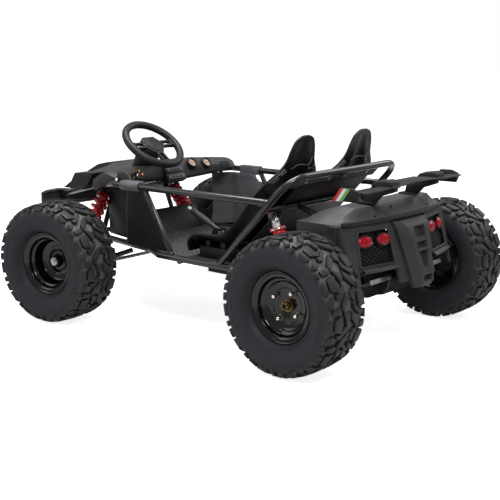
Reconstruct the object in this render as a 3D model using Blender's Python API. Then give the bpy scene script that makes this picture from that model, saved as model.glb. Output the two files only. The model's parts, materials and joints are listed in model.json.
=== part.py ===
"""Two-seat off-road racing kart: tube frame, four knobbly tyres, bucket seats, moulded nose, dash and tail.

X points forward, Y to the driver's left, Z up, in metres. The origin is on the ground under the kart's middle.
"""

import math

import bmesh
import bpy
from mathutils import Matrix, Vector

# Overall sizes
WHEELBASE = 0.988
FRONT_TRACK = 0.928
REAR_TRACK = 0.838
TYRE_RADIUS = 0.203
TYRE_WIDTH = 0.172
NOSE_OVERHANG = 0.302
CLEARANCE = 0.0003
RUNNING_CLEARANCE = 0.0008
WELD = 0.000002
REST_STEER = math.radians(7.0)

# Wheels
LUG_DEPTH = 0.011
RIM_FLANGE_RADIUS = 0.104
BEAD_RADIUS = 0.090
RIM_HALF_WIDTH = 0.058
FLANGE_THICKNESS = 0.006
RIM_WALL = 0.004
DROP_CENTRE_RADIUS = 0.078
DISC_THICKNESS = 0.006
FRONT_DISC_INSET = 0.066
REAR_DISC_INSET = 0.036
HUB_RADIUS = 0.019
REAR_HUB_LENGTH = 0.030
LUG_BOLT_CIRCLE_RADIUS = 0.041
LUG_BOLT_RADIUS = 0.0065
LUG_BOLT_LENGTH = 0.020
LUG_BOLTS = 4
WHEEL_STEPS = 16
RIM_TURN = math.radians(4)
BOLT_STEPS = 10
TYRE_STEPS = 30

# Frame tubes
TUBE_RADIUS = 0.011
BRACE_RADIUS = 0.009
TUBE_STEPS = 2
BEND_STEPS = 3
BEND_REACH_SHARE = 0.45
FRAME_HALF_WIDTH = 0.300
LOWER_RAIL_HEIGHT = 0.238
UPPER_RAIL_HEIGHT = 0.458
LOWER_RAIL_BEND = 0.03
RAIL_REAR_AHEAD = 0.285
RAIL_KINK_BEHIND = 0.335
RAIL_NARROW_BEHIND = 0.245
RAIL_NARROW_HALF = 0.250
RAIL_FRONT_AHEAD = 0.205
RAIL_FRONT_HALF = 0.165
TOWER_AHEAD = 0.067
TOWER_HALF_TOP = 0.120
TOWER_HEIGHT = 0.428
HOOP_FOOT_AHEAD = 0.392
HOOP_TOP_AHEAD = 0.104
HOOP_HEIGHT = 0.537
HOOP_BEND = 0.075
UPPER_RAIL_BEND = 0.06
UPPER_RAIL_KINK_BEHIND = 0.125
UPPER_RAIL_TOWER_HALF = 0.215
UPPER_RAIL_NOSE_AHEAD = 0.2865
UPPER_RAIL_NOSE_HALF = 0.190
UPPER_RAIL_NOSE_DROP = 0.085
PILLAR_TOP_BEHIND = 0.272
PILLAR_FOOT_BEHIND = 0.401
SLEEVE_FRONT_BEHIND = 0.150
SLEEVE_LENGTH = 0.095
SLEEVE_WALL = 0.0055
SLEEVE_LIP = 0.012
BRACE_HEIGHT = 0.430
CROSS_DROP = 0.010
SHOCK_EYE_SIDE = 0.228
SHOCK_EYE_HEIGHT = 0.408
SHOCK_EYE_AHEAD = 0.222
LUG_PLATE_THICKNESS = 0.006
LUG_PLATE_WIDTH = 0.026

# Floor and cockpit
FLOOR_THICKNESS = 0.005
FLOOR_FRONT_BEHIND = 0.060
TOE_BOARD_RISE = 0.115
TOE_BOARD_RUN = 0.060
TOE_BOARD_HALF = 0.185
PANEL_THICKNESS = 0.005
SIDE_PANEL_INSET = 0.020
SEAT_SPACING = 0.314
SEAT_WALL = 0.006
SEAT_HEIGHT = 0.652
SEAT_FRONT_AHEAD = 0.545
SEAT_TOP_AHEAD = 0.150
SEAT_HALF_WIDTH = 0.124
BATTERY_LENGTH = 0.20
BATTERY_WIDTH = 0.36
BATTERY_HEIGHT = 0.060
BATTERY_REAR_AHEAD = 0.345
BULKHEAD_HEIGHT = 0.500
BULKHEAD_THICKNESS = 0.004
BULKHEAD_HALF = 0.192
HANDBRAKE_PIVOT_AHEAD = 0.640
HANDBRAKE_REACH = 0.165
HANDBRAKE_RISE = 0.075
HANDBRAKE_RADIUS = 0.011
HANDBRAKE_BRACKET = 0.030
HANDBRAKE_BRACKET_SHARE = 1.4
PEDAL_WIDTH = 0.055
PEDAL_HEIGHT = 0.085
PEDAL_THICKNESS = 0.008
PEDAL_SPACING = 0.085
PEDAL_BEHIND = 0.115
PEDAL_INWARD = 0.022

# Steering
DRIVER_SIDE = SEAT_SPACING / 2
STEERING_WHEEL_BEHIND = 0.173
STEERING_WHEEL_HEIGHT = 0.585
STEERING_WHEEL_RADIUS = 0.115
STEERING_RIM_RADIUS = 0.0115
STEERING_TILT = math.radians(37.7)
STEERING_HUB_LENGTH = 0.034
STEERING_HUB_WIDTH = 0.062
STEERING_RIM_STEPS = 6
SPOKE_THICKNESS = 0.009
SPOKE_WIDTH = 0.026
SHAFT_RADIUS = 0.009
SHAFT_LENGTH = 0.190
COLUMN_RADIUS = 0.017
COLUMN_GAP = 0.016
COLUMN_LENGTH = 0.120
KINGPIN_SIDE = 0.352
KINGPIN_RADIUS = 0.009
KINGPIN_HALF_HEIGHT = 0.050
KNUCKLE_BLOCK = 0.036
SPINDLE_RADIUS = 0.010
STEER_ARM_LENGTH = 0.105
STEER_ARM_HEIGHT = 0.176
STEER_ARM_THICKNESS = 0.008
STEER_ARM_WIDTH = 0.018
TIE_ROD_RADIUS = 0.0065
TIE_ROD_EYE_RADIUS = 0.011
TIE_ROD_EYE_HEIGHT = 0.012
RACK_HALF = 0.080
RACK_HEIGHT = 0.1885
RACK_CLAMP_WIDTH = 0.020
RACK_CLAMP_WALL = 0.006

# Front suspension
ARM_PIVOT_SPREAD = 0.130
ARM_RADIUS = 0.009
SHOCK_BODY_RADIUS = 0.0085
SHOCK_COLLAR_RADIUS = 0.0255
SHOCK_COLLAR_THICKNESS = 0.006
SHOCK_EYE_RADIUS = 0.012
SHOCK_EYE_WIDTH = 0.018
SPRING_RADIUS = 0.0215
SPRING_WIRE_RADIUS = 0.0036
SPRING_COILS = 5
SPRING_STEPS_PER_COIL = 8
FRONT_SHOCK_TOP_SIDE = 0.164
FRONT_SHOCK_TOP_HEIGHT = 0.400
FRONT_SHOCK_LOW_SIDE = 0.300
FRONT_SHOCK_LOW_HEIGHT = 0.225

# Rear suspension and drive
SWING_ARM_SIDE = 0.270
SWING_ARM_RADIUS = 0.012
BEARING_RADIUS = 0.030
BEARING_WIDTH = 0.030
AXLE_RADIUS = 0.0125
AXLE_FLANGE_RADIUS = 0.055
AXLE_FLANGE_THICKNESS = 0.006
GEARBOX_RADIUS = 0.055
GEARBOX_HALF_WIDTH = 0.055
MOTOR_RADIUS = 0.045
DRIVE_STEPS = 20
MOTOR_LENGTH = 0.135
MOTOR_BEHIND = 0.075
REAR_SHOCK_LOW_AHEAD = 0.165
REAR_SHOCK_LOW_HEIGHT = 0.246

# Dash and nose
DASH_REAR_BEHIND = 0.190
DASH_DEPTH = 0.070
DASH_HALF_WIDTH = 0.272
DASH_TOP_HEIGHT = 0.522
DASH_DROP = 0.072
GAUGE_RADIUS = 0.020
GAUGE_LENGTH = 0.022
GAUGE_SPACING = 0.078
GAUGE_FIRST_SIDE = -0.040
HOOD_REAR_BEHIND = 0.105
HOOD_FRONT_AHEAD = 0.227
HOOD_HALF_WIDTH = 0.275
HOOD_TOP_HEIGHT = 0.522
HOOD_FALL = 0.140
BUMPER_HEIGHT = 0.385
BUMPER_DEPTH = 0.070
BUMPER_HALF_WIDTH = 0.300
BUMPER_THICKNESS = 0.012

# Tail
DECK_FRONT_AHEAD = 0.105
DECK_RIDGE_RISE = 0.041
DECK_EDGE_RISE = 0.0055
DECK_HALF_WIDTH = 0.289
DECK_THICKNESS = 0.005
SKIRT_DROP = 0.070
FASCIA_BEHIND = 0.132
FASCIA_CURVE = 0.050
FASCIA_LEAN = 0.26
FASCIA_TOP_HEIGHT = 0.4085
FASCIA_DEPTH = 0.1805
FASCIA_LOW_HALF_WIDTH = 0.263
FASCIA_THICKNESS = 0.012
WINDOW_TOP_DROP = 0.0145
WINDOW_DEPTH = 0.104
WINDOW_SILL = 0.010
WINDOW_INNER_SIDE = 0.112
WINDOW_OUTER_TOP_SIDE = 0.256
WINDOW_OUTER_LOW_SIDE = 0.238
GRILLE_THICKNESS = 0.004
GRILLE_RECESS = 0.015
LAMP_OUTER_SIDE = 0.218
LAMP_INNER_SIDE = 0.150
LAMP_DROP = 0.0425
LAMP_HALF_WIDTH = 0.028
LAMP_HALF_HEIGHT = 0.0185
LAMP_DEPTH = 0.0135
SPINE_TOP_HALF = 0.094
SPINE_LOW_HALF = 0.052
SPINE_OVERHANG = 0.021
SPINE_DEPTH = 0.012
WING_BEHIND = 0.128
WING_RISE = 0.1035
WING_HALF_SPAN = 0.283
WING_THICKNESS = 0.011
WING_CHORD = 0.048
WING_STEP_CHORD = 0.080
END_PLATE_THICKNESS = 0.014
END_PLATE_LENGTH = 0.092
END_PLATE_HEIGHT = 0.036
STRUT_SIDE = 0.119
STRUT_THICKNESS = 0.020
STRUT_CHORD = 0.042
STRUT_BASE_BEHIND = 0.045
STRUT_FOOT_SHARES = (0.6, 0.7, 0.8)

# Shapes as shares of the sizes above
FULL_LOCK = math.radians(20.0)
SEAT_BOLSTER = 0.072
SEAT_FOOT_LENGTH = 0.018
SEAT_FOOT_HALF = 0.090
TOE_BOARD_FOOT = 0.030
PEDAL_LEAN = 0.030
COLUMN_FOOT_LENGTH = 0.115
YOKE_THICKNESS = 0.008
YOKE_GAP = 0.0015
YOKE_CLEAR = 0.012
YOKE_HALF = 0.014
SHOULDER_STEP = 0.004
RUNNING_GAP = 0.0015
SPINDLE_REACH = 0.012
FRONT_HUB_INNER = 0.034
FRONT_HUB_OUTER = 0.028
SHOCK_ARM_HEIGHT = 0.186
RIM_SEAT_DEPTH = 0.0135
RIM_LEDGE = 0.024
RIM_STEP = 0.008
MOTOR_RISE = 0.022
GAUGE_PROUD = 0.006
DASH_CROWN = 0.026
DASH_LEAN = 0.012
BUMPER_LIFT = 0.015
BUMPER_SWEEP = 0.040
DECK_RIDGE_SIDE = 0.205
TAIL_TUBE_SIDE = 0.130
TAIL_TUBE_DROP = 0.0105
TAIL_TAB_ALONG = 0.55
TAIL_CROSS_RADIUS = 0.0075
WING_STEP_RISE = 0.010
LAMP_STEPS = 16
LAMP_STRIP_HALF = 0.005
SPOKE_TURNS = (math.radians(0.0), math.radians(90.0), math.radians(-90.0))
SEAT_SHARES = (
    (1, 0.048, 0.9, 0),
    (0.99, 0.095, 0.95, 0.05),
    (0.966, 0.131, 0.98, 0.12),
    (0.882, 0.152, 1, 0.28),
    (0.768, 0.141, 1, 0.4),
    (0.654, 0.126, 1, 0.5),
    (0.561, 0.153, 1, 0.5),
    (0.477, 0.226, 1, 0.42),
    (0.394, 0.317, 1, 0.36),
    (0.3, 0.422, 1, 0.38),
    (0.211, 0.519, 1, 0.38),
    (0.1405, 0.617, 0.98, 0.27),
    (0.105, 0.683, 0.9, 0.14),
    (0.08, 0.744, 0.73, 0.06),
    (0.0595, 0.812, 0.56, 0.02),
    (0.0367, 0.8975, 0.47, 0),
    (0.019, 0.9585, 0.37, 0),
    (0, 1, 0.2, 0),
)
SEAT_ACROSS_SHARES = ((-1, 1), (-0.88, 0.60), (-0.62, 0.15), (0, 0), (0.62, 0.15), (0.88, 0.60), (1, 1))
SEAT_FOOT_SHARES = ((0.688, 0.1225), (0.854, 0.1415))
SIDE_PANEL_TOP_GAP = 0.014
SIDE_PANEL_LIP = 0.0117
SIDE_PANEL_SHARES = ((0.456, 0.010), (0.374, 0.055), (0.262, 0.235))
TYRE_SHARES = ((0.60, 0.13), (0.96, 0.40), (0.98, 0.70), (0.86, 0.88), (0.42, 0.90), (0.0, 0.90))
TYRE_INSIDE_SHARES = ((0.53, 0.03), (0.86, 0.70))
LUG_ROWS = ((2, 0), (4, 1), (6, 0))
LUG_TAPER = 0.16
DASH_SHARES = ((-1.0, 0.0), (-0.6, 0.62), (0.0, 1.0), (0.6, 0.62), (1.0, 0.0))
HOOD_SHARES = (
    (0.00, 0.05, 0.336, 0.586, 1.00),
    (0.16, 0.014, 0.236, 0.593, 1.02),
    (0.29, 0.05, 0.457, 0.707, 1.02),
    (0.50, 0.086, 0.479, 0.657, 0.86),
    (0.65, 0.207, 0.55, 0.729, 0.82),
    (0.83, 0.371, 0.586, 0.764, 0.78),
    (1.00, 0.657, 0.836, 0.979, 0.71),
)
HOOD_ACROSS_SHARES = (
    (-1.0, 1.0),
    (-0.74, 0.45),
    (-0.40, 0.10),
    (0.0, 0.0),
    (0.40, 0.10),
    (0.74, 0.45),
    (1.0, 1.0),
)
BUMPER_SHARES = (
    (-1.0, 0.75, 0.0),
    (-0.9, 0.25, 0.0),
    (-0.70, 0.0, 0.0),
    (-0.35, 0.0, -1.0),
    (0.35, 0.0, -1.0),
    (0.70, 0.0, 0.0),
    (0.9, 0.25, 0.0),
    (1.0, 0.75, 0.0),
)
DECK_SHARES = (
    (0.00, 0.05, 0.40),
    (0.12, 0.45, 0.52),
    (0.50, 1.00, 0.62),
    (0.80, 0.95, 0.90),
    (1.00, 0.00, 1.05),
)
DECK_ACROSS_SHARES = (-1.0, -0.86, -0.70, -0.35, 0.0, 0.35, 0.70, 0.86, 1.0)
WING_SHARES = (
    (-1.0, 0, 0),
    (-0.62, 0, 0),
    (-0.52, 1, 1),
    (0.52, 1, 1),
    (0.62, 0, 0),
    (1.0, 0, 0),
)

# Places that follow from the sizes above
REAR_X = (TYRE_RADIUS - WHEELBASE - NOSE_OVERHANG) / 2
FRONT_X = REAR_X + WHEELBASE
FASCIA_LOW_HEIGHT = FASCIA_TOP_HEIGHT - FASCIA_DEPTH
SPINE_LOW_HEIGHT = FASCIA_LOW_HEIGHT - SPINE_OVERHANG
WINDOW_TOP_HEIGHT = FASCIA_TOP_HEIGHT - WINDOW_TOP_DROP
WINDOW_LOW_HEIGHT = WINDOW_TOP_HEIGHT - WINDOW_DEPTH
LAMP_HEIGHT = FASCIA_TOP_HEIGHT - LAMP_DROP
DECK_EDGE_HEIGHT = FASCIA_TOP_HEIGHT + DECK_EDGE_RISE
TAIL_TUBE_HEIGHT = FASCIA_TOP_HEIGHT - TAIL_TUBE_DROP
WING_HEIGHT = FASCIA_TOP_HEIGHT + WING_RISE
SIDES = (("left", 1), ("right", -1))


def clear_scene():
    for obj in list(bpy.data.objects):
        bpy.data.objects.remove(obj)


def material(name, colour, roughness, metallic):
    mat = bpy.data.materials.new(name)
    mat.use_nodes = True
    shader = mat.node_tree.nodes["Principled BSDF"]
    shader.inputs["Base Color"].default_value = (*colour, 1.0)
    shader.inputs["Roughness"].default_value = roughness
    shader.inputs["Metallic"].default_value = metallic
    mat.diffuse_color = (*colour, 1.0)
    return mat


def make_materials():
    return {
        "tube": material("frame_tube", (0.020, 0.020, 0.022), 0.30, 0.3),
        "plastic": material("black_plastic", (0.028, 0.028, 0.030), 0.55, 0.0),
        "grey": material("grey_plastic", (0.070, 0.070, 0.075), 0.50, 0.0),
        "seat": material("seat_plastic", (0.018, 0.018, 0.020), 0.35, 0.0),
        "rubber": material("tyre_rubber", (0.030, 0.030, 0.032), 0.80, 0.0),
        "rim": material("gloss_rim", (0.008, 0.008, 0.009), 0.12, 0.2),
        "red": material("red_spring", (0.60, 0.010, 0.015), 0.25, 0.3),
        "lens": material("red_lens", (0.55, 0.005, 0.015), 0.12, 0.0),
        "steel": material("zinc_steel", (0.62, 0.62, 0.62), 0.30, 1.0),
        "mat": material("floor_mat", (0.055, 0.055, 0.060), 0.75, 0.0),
        "motor": material("motor_black", (0.030, 0.030, 0.032), 0.45, 0.5),
    }


def as_object(name, bm, mat=None, sharp_angle=math.radians(35)):
    """A mesh object from a bmesh, shaded smooth but for its sharp edges."""
    bmesh.ops.recalc_face_normals(bm, faces=bm.faces)
    mesh = bpy.data.meshes.new(name)
    bm.to_mesh(mesh)
    bm.free()
    mesh.shade_smooth()
    mesh.set_sharp_from_angle(angle=sharp_angle)
    obj = bpy.data.objects.new(name, mesh)
    bpy.context.scene.collection.objects.link(obj)
    if mat:
        mesh.materials.append(mat)
    return obj


def rounded(points, bend):
    """The path through the points, with each corner replaced by an arc of this radius."""
    corners = [Vector(p) for p in points]
    path = [corners[0]]
    for before, corner, after in zip(corners, corners[1:], corners[2:]):
        back = (before - corner).normalized()
        ahead = (after - corner).normalized()
        half = back.angle(ahead) / 2
        shorter = min((before - corner).length, (after - corner).length)
        reach = min(bend / math.tan(half), shorter * BEND_REACH_SHARE)
        radius = reach * math.tan(half)
        centre = corner + (back + ahead).normalized() * (radius / math.sin(half))
        start = corner + back * reach - centre
        turn = start.rotation_difference(corner + ahead * reach - centre)
        for step in range(BEND_STEPS + 1):
            path.append(centre + Matrix.Rotation(turn.angle * step / BEND_STEPS, 3, turn.axis) @ start)
    path.append(corners[-1])
    return path


def tube(name, points, radius, mat=None, bend=0.0, level=TUBE_STEPS):
    """A closed round bar along a path, as a curve with a bevel turned into a mesh."""
    path = rounded(points, bend) if bend else [Vector(p) for p in points]
    curve = bpy.data.curves.new(name, "CURVE")
    curve.dimensions = "3D"
    spline = curve.splines.new("POLY")
    spline.points.add(len(path) - 1)
    for point, place in zip(spline.points, path):
        point.co = (*place, 1.0)
    curve.bevel_depth = radius
    curve.bevel_resolution = level
    curve.use_fill_caps = True
    guide = bpy.data.objects.new(name + "_guide", curve)
    bpy.context.scene.collection.objects.link(guide)
    bm = bmesh.new()
    bm.from_mesh(evaluated_mesh(guide))
    bmesh.ops.remove_doubles(bm, verts=bm.verts, dist=CLEARANCE / 10)
    bpy.data.objects.remove(guide)
    return as_object(name, bm, mat)


def evaluated_mesh(obj):
    graph = bpy.context.evaluated_depsgraph_get()
    return bpy.data.meshes.new_from_object(obj.evaluated_get(graph))


def boolean(obj, tools, operation):
    """Joins the tools to obj, or cuts them from it, one after another, and removes them."""
    for tool in tools:
        step = obj.modifiers.new(operation.lower(), "BOOLEAN")
        step.operation = operation
        step.solver = "EXACT"
        step.object = tool
        mats = list(obj.data.materials)
        mesh = evaluated_mesh(obj)
        obj.modifiers.remove(step)
        obj.data = mesh
        mesh.materials.clear()
        for mat in mats:
            mesh.materials.append(mat)
        bpy.data.objects.remove(tool)
    bm = bmesh.new()
    bm.from_mesh(obj.data)
    bmesh.ops.remove_doubles(bm, verts=bm.verts, dist=WELD)
    bm.to_mesh(obj.data)
    bm.free()
    obj.data.shade_smooth()
    obj.data.set_sharp_from_angle(angle=math.radians(35))
    return obj


def fuse(obj, *tools):
    return boolean(obj, tools, "UNION")


def cut(obj, *tools):
    return boolean(obj, tools, "DIFFERENCE")


def box(name, low, high, mat=None):
    bm = bmesh.new()
    low, high = Vector(low), Vector(high)
    size = high - low
    move = Matrix.Translation((low + high) / 2) @ Matrix.Diagonal((*size, 1.0))
    bmesh.ops.create_cube(bm, size=1.0, matrix=move)
    return as_object(name, bm, mat)


def cylinder(name, start, end, radius, mat=None, steps=12, end_radius=None):
    start, end = Vector(start), Vector(end)
    axis = end - start
    turn = axis.to_track_quat("Z", "Y").to_matrix().to_4x4()
    bm = bmesh.new()
    bmesh.ops.create_cone(
        bm,
        cap_ends=True,
        segments=steps,
        radius1=radius,
        radius2=radius if end_radius is None else end_radius,
        depth=axis.length,
        matrix=Matrix.Translation((start + end) / 2) @ turn,
    )
    return as_object(name, bm, mat)


def prism(name, outline, to_point, low, high, mat=None):
    """A closed prism: to_point(u, v, w) places the outline's points at depths low and high."""
    bm = bmesh.new()
    near = [bm.verts.new(to_point(u, v, low)) for u, v in outline]
    far = [bm.verts.new(to_point(u, v, high)) for u, v in outline]
    bm.faces.new(near)
    bm.faces.new(list(reversed(far)))
    for i in range(len(outline)):
        j = (i + 1) % len(outline)
        bm.faces.new((near[i], near[j], far[j], far[i]))
    return as_object(name, bm, mat)


def lathe(name, profile, mat=None, steps=WHEEL_STEPS):
    """A closed solid turned about the Y axis from a closed profile of (y, radius) points."""
    bm = bmesh.new()
    verts = [bm.verts.new((radius, y, 0.0)) for y, radius in profile]
    edges = [bm.edges.new((a, b)) for a, b in zip(verts, verts[1:] + verts[:1]) if a.co.x + b.co.x > 0]
    bmesh.ops.spin(
        bm,
        geom=verts + edges,
        cent=(0, 0, 0),
        axis=(0, 1, 0),
        angle=2 * math.pi,
        steps=steps,
        use_merge=True,
    )
    bmesh.ops.remove_doubles(bm, verts=bm.verts, dist=CLEARANCE / 10)
    bmesh.ops.triangulate(bm, faces=bm.faces)
    return as_object(name, bm, mat)


def skin(name, rows, thickness, mat, missing=()):
    """A sheet of this thickness through a grid of points, grown towards the rows' left side."""
    bm = bmesh.new()
    grid = [[bm.verts.new(point) for point in row] for row in rows]
    for i in range(len(rows) - 1):
        for j in range(len(rows[0]) - 1):
            if (i, j) not in missing:
                bm.faces.new((grid[i][j], grid[i][j + 1], grid[i + 1][j + 1], grid[i + 1][j]))
    loose = [v for v in bm.verts if not v.link_faces]
    bmesh.ops.delete(bm, geom=loose, context="VERTS")
    mesh = bpy.data.meshes.new(name)
    bm.to_mesh(mesh)
    bm.free()
    obj = bpy.data.objects.new(name, mesh)
    bpy.context.scene.collection.objects.link(obj)
    mesh.materials.append(mat)
    wall = obj.modifiers.new("wall", "SOLIDIFY")
    wall.thickness = thickness
    wall.offset = -1.0
    wall.use_even_offset = True
    solid = evaluated_mesh(obj)
    obj.modifiers.clear()
    obj.data = solid
    solid.shade_smooth()
    solid.set_sharp_from_angle(angle=math.radians(30))
    return obj


def placed(obj, parent=None, location=(0, 0, 0), rotation=None):
    """Puts an object, made about its own origin, at a place under a parent."""
    obj.parent = parent
    obj.location = location
    if rotation:
        obj.rotation_euler = rotation
    return obj


def empty(name, location, rotation=(0, 0, 0), parent=None):
    obj = bpy.data.objects.new(name, None)
    bpy.context.scene.collection.objects.link(obj)
    obj.location = location
    obj.rotation_euler = rotation
    obj.parent = parent
    return obj


def outward(side):
    """The turn that makes a wheel built to face left face out on this side."""
    return (0, 0, 0 if side > 0 else math.pi)


def mirrored(obj, name):
    """A copy of an object on the other side of the kart's middle plane."""
    mesh = obj.data.copy()
    mesh.name = name
    mesh.transform(obj.matrix_basis)
    mesh.transform(Matrix.Diagonal((1, -1, 1, 1)))
    mesh.flip_normals()
    other = bpy.data.objects.new(name, mesh)
    bpy.context.scene.collection.objects.link(other)
    return other


def recentred(obj, origin):
    """Moves an object's origin to this point and keeps its shape where it is."""
    obj.data.transform(Matrix.Translation(-Vector(origin)))
    obj.location = origin
    return obj


# Frame
def lower_rail_path(side):
    return [
        (REAR_X + RAIL_REAR_AHEAD, side * FRAME_HALF_WIDTH, LOWER_RAIL_HEIGHT),
        (FRONT_X - RAIL_KINK_BEHIND, side * FRAME_HALF_WIDTH, LOWER_RAIL_HEIGHT),
        (FRONT_X - RAIL_NARROW_BEHIND, side * RAIL_NARROW_HALF, LOWER_RAIL_HEIGHT),
        (FRONT_X + RAIL_FRONT_AHEAD, side * RAIL_FRONT_HALF, LOWER_RAIL_HEIGHT),
    ]


def lower_rail_half_width(x):
    """How far out the lower rails' centres run at this x."""
    path = lower_rail_path(1)
    for (x0, y0, _), (x1, y1, _) in zip(path, path[1:]):
        if x <= x1:
            return y0 + (y1 - y0) * max(0.0, (x - x0) / (x1 - x0))
    return path[-1][1]


def rear_cross_x():
    return REAR_X + RAIL_REAR_AHEAD + TUBE_RADIUS


def pillar_x(z):
    """Where the pillars' line stands at this height."""
    share = (z - LOWER_RAIL_HEIGHT) / (UPPER_RAIL_HEIGHT - LOWER_RAIL_HEIGHT)
    return FRONT_X - PILLAR_FOOT_BEHIND + (PILLAR_FOOT_BEHIND - PILLAR_TOP_BEHIND) * share


def middle_cross_x():
    return REAR_X + BATTERY_REAR_AHEAD + BATTERY_LENGTH + 2 * BRACE_RADIUS


def hoop_leg_point(height, side):
    """The point of the roll hoop's leg at this height."""
    share = (height - LOWER_RAIL_HEIGHT) / (HOOP_HEIGHT - LOWER_RAIL_HEIGHT)
    x = REAR_X + HOOP_FOOT_AHEAD + (HOOP_TOP_AHEAD - HOOP_FOOT_AHEAD) * share
    return Vector((x, side * FRAME_HALF_WIDTH, height))


def hoop_path():
    top = [(REAR_X + HOOP_TOP_AHEAD, side * FRAME_HALF_WIDTH, HOOP_HEIGHT) for side in (1, -1)]
    return [hoop_leg_point(LOWER_RAIL_HEIGHT, 1), *top, hoop_leg_point(LOWER_RAIL_HEIGHT, -1)]


def upper_rail_path(side):
    start = hoop_leg_point(UPPER_RAIL_HEIGHT, side)
    return [
        start,
        (FRONT_X - UPPER_RAIL_KINK_BEHIND, side * FRAME_HALF_WIDTH, UPPER_RAIL_HEIGHT),
        (FRONT_X + TOWER_AHEAD, side * UPPER_RAIL_TOWER_HALF, UPPER_RAIL_HEIGHT - UPPER_RAIL_NOSE_DROP / 3),
        (
            FRONT_X + UPPER_RAIL_NOSE_AHEAD,
            side * UPPER_RAIL_NOSE_HALF,
            UPPER_RAIL_HEIGHT - UPPER_RAIL_NOSE_DROP,
        ),
    ]


def clearance_tube(points, bend=0.0):
    return tube("cope", points, TUBE_RADIUS + CLEARANCE, bend=bend)


def make_lower_frame(mats):
    rails = [tube("rail", lower_rail_path(side), TUBE_RADIUS, bend=LOWER_RAIL_BEND) for _, side in SIDES]
    crossings = []
    low = LOWER_RAIL_HEIGHT - CROSS_DROP
    for x in (rear_cross_x(), middle_cross_x(), FRONT_X + RAIL_FRONT_AHEAD - TUBE_RADIUS):
        half = lower_rail_half_width(x)
        crossings.append(tube("cross", [(x, half, low), (x, -half, low)], BRACE_RADIUS))
    tower_x = FRONT_X + TOWER_AHEAD
    foot = lower_rail_half_width(tower_x)
    tower = [
        (tower_x, foot, LOWER_RAIL_HEIGHT),
        (tower_x, TOWER_HALF_TOP, TOWER_HEIGHT),
        (tower_x, -TOWER_HALF_TOP, TOWER_HEIGHT),
        (tower_x, -foot, LOWER_RAIL_HEIGHT),
    ]
    crossings.append(tube("tower", tower, BRACE_RADIUS, bend=LOWER_RAIL_BEND))
    for _, side in SIDES:
        top = (FRONT_X - PILLAR_TOP_BEHIND, side * FRAME_HALF_WIDTH, UPPER_RAIL_HEIGHT)
        foot = (FRONT_X - PILLAR_FOOT_BEHIND, side * FRAME_HALF_WIDTH, LOWER_RAIL_HEIGHT)
        pillar = tube("pillar", [foot, top], BRACE_RADIUS)
        crossings.append(cut(pillar, clearance_tube(upper_rail_path(side), UPPER_RAIL_BEND)))
    frame = fuse(rails[0], rails[1], *crossings)
    frame.name = "lower_frame"
    frame.data.materials.clear()
    frame.data.materials.append(mats["tube"])
    return frame


def make_upper_frame(mats):
    """The roll hoop with both side rails, and the brace whose plates the rear dampers hang from."""
    hoop = tube("upper_frame", hoop_path(), TUBE_RADIUS, mats["tube"], bend=HOOP_BEND)
    rails = [tube("rail", upper_rail_path(side), TUBE_RADIUS, bend=UPPER_RAIL_BEND) for _, side in SIDES]
    ends = [hoop_leg_point(BRACE_HEIGHT, side) for side in (1, -1)]
    brace = tube("brace", ends, BRACE_RADIUS)
    x = REAR_X + SHOCK_EYE_AHEAD
    plates = []
    for _, side in SIDES:
        for inward in (1, -1):
            y = side * SHOCK_EYE_SIDE + inward * (SHOCK_EYE_WIDTH / 2 + CLEARANCE + LUG_PLATE_THICKNESS / 2)
            low = (x - LUG_PLATE_WIDTH, y - LUG_PLATE_THICKNESS / 2, SHOCK_EYE_HEIGHT - LUG_PLATE_WIDTH / 2)
            high = (x + LUG_PLATE_WIDTH / 2, y + LUG_PLATE_THICKNESS / 2, BRACE_HEIGHT)
            plates.append(box("plate", low, high))
    fuse(hoop, *rails, brace, *plates)
    return cut(hoop, *[clearance_tube(lower_rail_path(side), LOWER_RAIL_BEND) for _, side in SIDES])


# Floor and cockpit
def floor_top():
    return LOWER_RAIL_HEIGHT - CROSS_DROP + BRACE_RADIUS + CLEARANCE + FLOOR_THICKNESS


def make_floor(mats):
    """The flat pan on the cross tubes, between the lower rails."""
    gap = TUBE_RADIUS + 2 * CLEARANCE
    stations = [
        rear_cross_x(),
        FRONT_X - RAIL_KINK_BEHIND - LOWER_RAIL_BEND / 2,
        FRONT_X - RAIL_NARROW_BEHIND,
        FRONT_X - FLOOR_FRONT_BEHIND,
    ]
    half = [lower_rail_half_width(x) - gap for x in stations]
    half[1] -= CLEARANCE
    half[2] -= TUBE_RADIUS / 2
    half[3] -= TUBE_RADIUS / 2
    left = list(zip(stations, half))
    outline = left + [(x, -y) for x, y in reversed(left)]
    low, high = floor_top() - FLOOR_THICKNESS, floor_top()
    floor = prism("floor_pan", outline, lambda u, v, w: (u, v, w), low, high, mats["mat"])
    fuse(floor, make_toe_board(mats))


def make_toe_board(mats):
    low = Vector((FRONT_X - FLOOR_FRONT_BEHIND - TOE_BOARD_FOOT, 0, floor_top() - FLOOR_THICKNESS / 2))
    rise = [(0.0, 0.0), (TOE_BOARD_FOOT, 0.0), (TOE_BOARD_FOOT + TOE_BOARD_RUN, TOE_BOARD_RISE)]
    rows = [
        [(low.x + run, share * TOE_BOARD_HALF, low.z + FLOOR_THICKNESS + up) for share in (-1, 0, 1)]
        for run, up in reversed(rise)
    ]
    return skin("toe_board", rows, FLOOR_THICKNESS, mats["mat"])


def make_battery(mats):
    low = floor_top() - FLOOR_THICKNESS - CLEARANCE - BATTERY_HEIGHT
    box(
        "battery_box",
        (REAR_X + BATTERY_REAR_AHEAD, -BATTERY_WIDTH / 2, low),
        (REAR_X + BATTERY_REAR_AHEAD + BATTERY_LENGTH, BATTERY_WIDTH / 2, low + BATTERY_HEIGHT),
        mats["plastic"],
    )


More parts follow.
